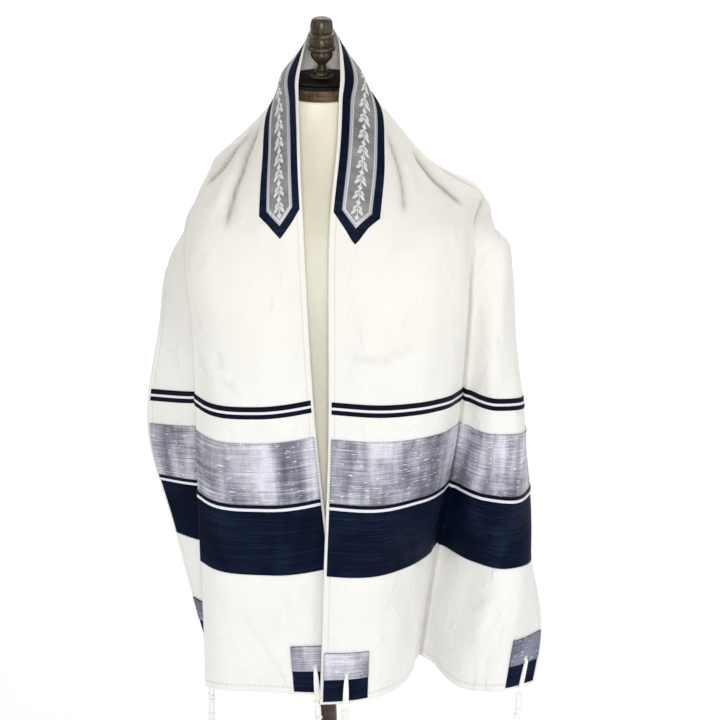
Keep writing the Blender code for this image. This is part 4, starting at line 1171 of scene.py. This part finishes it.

# Turned wood and the cap: a neck ring, a flat black cap with a moulding, a finial of beads and a
# bulb, a pole and a round base, all turned on the form's axis; the wood is stained dark brown and
# the cap painted black.
NECK_RING = [
    (-8.30, 4.30), (-8.30, 4.90), (-8.37, 5.04), (-8.48, 5.12), (-8.84, 5.15), (-9.12, 5.10),
    (-9.41, 5.15), (-9.74, 5.12), (-9.88, 5.02), (-9.95, 4.85), (-9.95, 4.30),
]
NECK_CAP = [
    (-7.40, 0.40), (-7.40, 4.60), (-7.43, 4.86), (-7.52, 5.00), (-7.64, 5.02), (-7.70, 4.92),
    (-7.78, 4.92), (-7.84, 5.10), (-7.95, 5.24), (-8.11, 5.24), (-8.22, 5.12), (-8.27, 4.90),
    (-8.27, 4.30),
]
FINIAL = [
    (0.90, 0.18), (0.89, 0.60), (0.84, 0.95), (0.70, 1.22), (0.44, 1.42), (0.08, 1.52),
    (-0.32, 1.57), (-0.70, 1.58), (-1.00, 1.55), (-1.17, 1.46), (-1.23, 1.46), (-1.28, 1.66),
    (-1.39, 1.84), (-1.53, 1.88), (-1.72, 1.82), (-1.82, 1.68), (-1.89, 1.55), (-2.11, 1.60),
    (-2.51, 1.68), (-2.90, 1.62), (-3.10, 1.50), (-3.17, 1.66), (-3.32, 1.82), (-3.49, 1.86),
    (-3.66, 1.80), (-3.77, 1.62), (-3.84, 1.46), (-4.25, 1.52), (-4.65, 1.42), (-5.05, 1.14),
    (-5.33, 0.86), (-5.48, 0.74), (-5.54, 0.62), (-5.95, 0.57), (-6.29, 0.62), (-6.42, 0.76),
    (-6.49, 0.62), (-6.56, 0.80), (-6.63, 1.06), (-6.76, 1.20), (-6.97, 1.26), (-7.10, 1.34),
    (-7.20, 1.62), (-7.28, 1.70), (-7.37, 1.70),
]
POLE = [
    (-81.83, 2.5), (-82.3, 2.62), (-82.8, 2.5), (-83.2, 2.15), (-83.6, 2.08), (-85.5, 2.45),
    (-88.0, 2.92), (-90.0, 3.02), (-93.0, 2.82), (-95.5, 2.45), (-97.5, 2.02), (-99.4, 1.68),
    (-99.8, 1.75), (-100.2, 2.15), (-100.7, 2.32), (-101.3, 2.36), (-102.0, 2.3), (-102.5, 2.0),
    (-102.9, 1.66), (-104.0, 1.58), (-110.0, 1.66), (-118.0, 1.76), (-126.0, 1.84), (-132.6, 1.86),
    (-133.4, 2.0), (-134.2, 2.5), (-135.2, 2.78), (-136.4, 2.86), (-137.4, 2.6), (-138.3, 2.24),
    (-139.0, 2.2), (-139.97, 2.4),
]
BASE = [
    (-140.0, 2.6), (-140.0, 4.6), (-140.1, 5.0), (-140.5, 5.5), (-141.0, 5.75), (-141.3, 6.6),
    (-141.7, 9.5), (-142.1, 12.9), (-142.5, 14.4), (-142.9, 15.2), (-143.2, 15.3), (-143.4, 15.6),
    (-143.9, 16.2), (-144.4, 16.4), (-144.8, 16.4), (-145.0, 16.1), (-145.0, 3.0),
]


def turned_solid(name, outline_points, steps_down, look, slot, around=96):
    """A solid turned on the form's axis. The outline is the smooth line through its points. How far
    each point stands out from the outline smoothed over about 1 cm gives its share of pale wear and
    painted highlight."""
    points = np.array(outline_points)
    far = run_to(points)
    line = curve(far, points, np.union1d(np.linspace(0.0, far[-1], steps_down), far))
    line = np.clip(line, points.min(axis=0), points.max(axis=0))
    soft = line.copy()
    for _ in range(12):
        soft[1:-1] = 0.5 * soft[1:-1] + 0.25 * (soft[:-2] + soft[2:])
    # Pale wear and a painted highlight on what stands out.
    worn = np.clip((line[:, 1] - soft[:, 1]) * 6.0 + 0.3, 0.0, 1.0)
    angle = np.linspace(0, 2 * np.pi, around, endpoint=False)
    rings = np.stack(np.broadcast_arrays(line[:, 1:] * np.cos(angle), line[:, 1:] * np.sin(angle),
                                         line[:, :1]), axis=-1)
    return piece(name, rings, rope_faces(1, len(line), around), look, slot=slot,
                 worn=np.broadcast_to(worn[:, None], rings.shape[:2]))


def turned_wood(name, dark, middle_tone, bright, rough, grain_scale=1.0, shine=0.3):
    """Stained and waxed wood: long grain, fine turning lines, and paler raised beads, from wear and
    a painted highlight.
    """
    mat, tree, shader = new_look(name, Roughness=rough, Coat_Weight=0.3 * shine,
                                 Coat_Roughness=0.25, Specular_IOR_Level=shine)
    place = add(tree, "TexCoord").outputs["Object"]
    long_grain = grain(tree, place, (90 * grain_scale, 90 * grain_scale, 14), 4.0, 0.6, 0.8)
    pores = grain(tree, place, (420, 420, 60), 2.0)
    lines = grain(tree, place, (4, 4, 900), 2.0)
    worn = add(tree, "Attribute", attribute_name="worn").outputs["Fac"]
    blotch = grain(tree, place, (70, 70, 70), 3.0)
    tone = weigh(tree, (long_grain, 0.6), (pores, 0.4))
    colour = ramp(tree, tone, [(0.32, dark), (0.5, middle_tone), (0.7, bright)])
    # Paler where the wood stands out: wear, and a painted highlight on the beads.
    wear_and_highlight_share = sums(tree, "MULTIPLY", sums(tree, "SUBTRACT", sums(tree, "ADD", worn, blotch), 0.85),
                  2.2, clamp=True)
    pale = tuple(min(1.0, 2.2 * c + 0.03) for c in bright)
    colour = blend(tree, sums(tree, "MULTIPLY", wear_and_highlight_share, 0.45), colour, pale)
    finish_with(tree, shader, colour, weigh(tree, (lines, 0.5), (pores, 1.0)), 0.00025,
                strength=0.5, rough=weigh(tree, (long_grain, 0.2), (rough - 0.08, 1.0)))
    return mat


BRONZE_BROWN = turned_wood("bronze_brown_wood", (0.007, 0.005, 0.003), (0.036, 0.026, 0.014),
                           (0.125, 0.092, 0.052), 0.30)
DARK_WOOD = turned_wood("dark_wood", (0.012, 0.007, 0.005), (0.038, 0.020, 0.013),
                        (0.085, 0.048, 0.032), 0.34)
RING_WOOD = turned_wood("neck_ring_wood", (0.020, 0.011, 0.006), (0.062, 0.035, 0.019),
                        (0.150, 0.090, 0.050), 0.42, 0.4, 0.2)
BLACK_PAINT = turned_wood("black_paint", (0.002, 0.002, 0.002), (0.004, 0.004, 0.003),
                          (0.006, 0.005, 0.004), 0.45, 1.0, 0.03)
for node, outline_points, count, look, slot in (
        ("neck_ring", NECK_RING, 40, RING_WOOD, "form_wood"),
        ("neck_cap", NECK_CAP, 60, BLACK_PAINT, "form_black"),
        ("finial", FINIAL, 190, BRONZE_BROWN, "form_wood"),
        ("pole", POLE, 220, DARK_WOOD, "form_wood"),
        ("base", BASE, 110, DARK_WOOD, "form_wood")):
    made = turned_solid(f"{node}_turned", outline_points, count, look, slot)
    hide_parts(node)

# The studio: a pale seamless floor, soft lights from the front, the left and the right, one from
# above behind, one that lights the floor farther back, and pale surroundings.
FLOOR_HALF, ROOM_STRENGTH = 30.0, 0.48
corners = np.linspace(-FLOOR_HALF, FLOOR_HALF, 9)
x, y = np.meshgrid(corners, corners, indexing="ij")
mesh = bpy.data.meshes.new("studio_floor")
mesh.from_pydata(np.stack([x, y, 0 * x], axis=-1).reshape(-1, 3).tolist(), [], quads(9, 9).tolist())
mat, tree, shader = new_look("pale_floor", Roughness=0.9, Specular_IOR_Level=0.1)
tone = grain(tree, add(tree, "TexCoord").outputs["Object"], (1.5, 1.5, 1.5), 2.0)
finish_with(tree, shader, ramp(tree, tone, [(0.3, (0.93, 0.93, 0.93)), (0.7, (0.95, 0.95, 0.95))]))
mesh.materials.append(mat)
floor = bpy.data.objects.new("studio_floor", mesh)
bpy.context.scene.collection.objects.link(floor)

# Where each light stands, what it shines at and how wide it is, all in metres, and its watts.
for name, place, aim, size, watts in (
        ("key", (0.1, -3.5, 1.9), (0.0, 0.0, 0.80), 0.7, 56.0),
        ("left", (-1.8, -1.7, 3.0), (0.0, 0.0, 1.1), 0.7, 6.0),
        ("right", (2.2, -1.7, 2.2), (0.1, 0.0, 0.9), 0.9, 12.0),
        ("back", (0.6, 2.4, 3.0), (0.0, 0.0, 0.95), 2.0, 9.0),
        ("floor_wash", (0.0, 5.6, 4.6), (0.0, 5.6, 0.0), 9.0, 330.0)):
    light = bpy.data.lights.new(name, "AREA")
    light.shape, light.size, light.energy = "DISK", size, watts
    lamp = bpy.data.objects.new(name, light)
    lamp.location = place
    lamp.rotation_euler = (Vector(aim) - Vector(place)).to_track_quat("-Z", "Y").to_euler()
    bpy.context.scene.collection.objects.link(lamp)
world = bpy.data.worlds.new("pale_room")
world.use_nodes = True
room = world.node_tree.nodes["Background"].inputs
room["Color"].default_value = (1.0, 0.995, 0.985, 1.0)
room["Strength"].default_value = ROOM_STRENGTH
bpy.context.scene.world = world
bpy.context.scene.view_settings.view_transform = "Standard"

# The camera: as high as a standing person's eyes, a little right of the middle, looking down.
CAMERA_AT, TILT, FOCAL = (0.053, -2.70, 1.99), 69.0, 98.5
lens = bpy.data.cameras.new("photo_view")
lens.sensor_width, lens.lens = 36.0, FOCAL
camera = bpy.data.objects.new("photo_view", lens)
camera.location = CAMERA_AT
camera.rotation_euler = (np.radians(TILT), 0.0, 0.0)
bpy.context.scene.collection.objects.link(camera)
bpy.context.scene.camera = camera
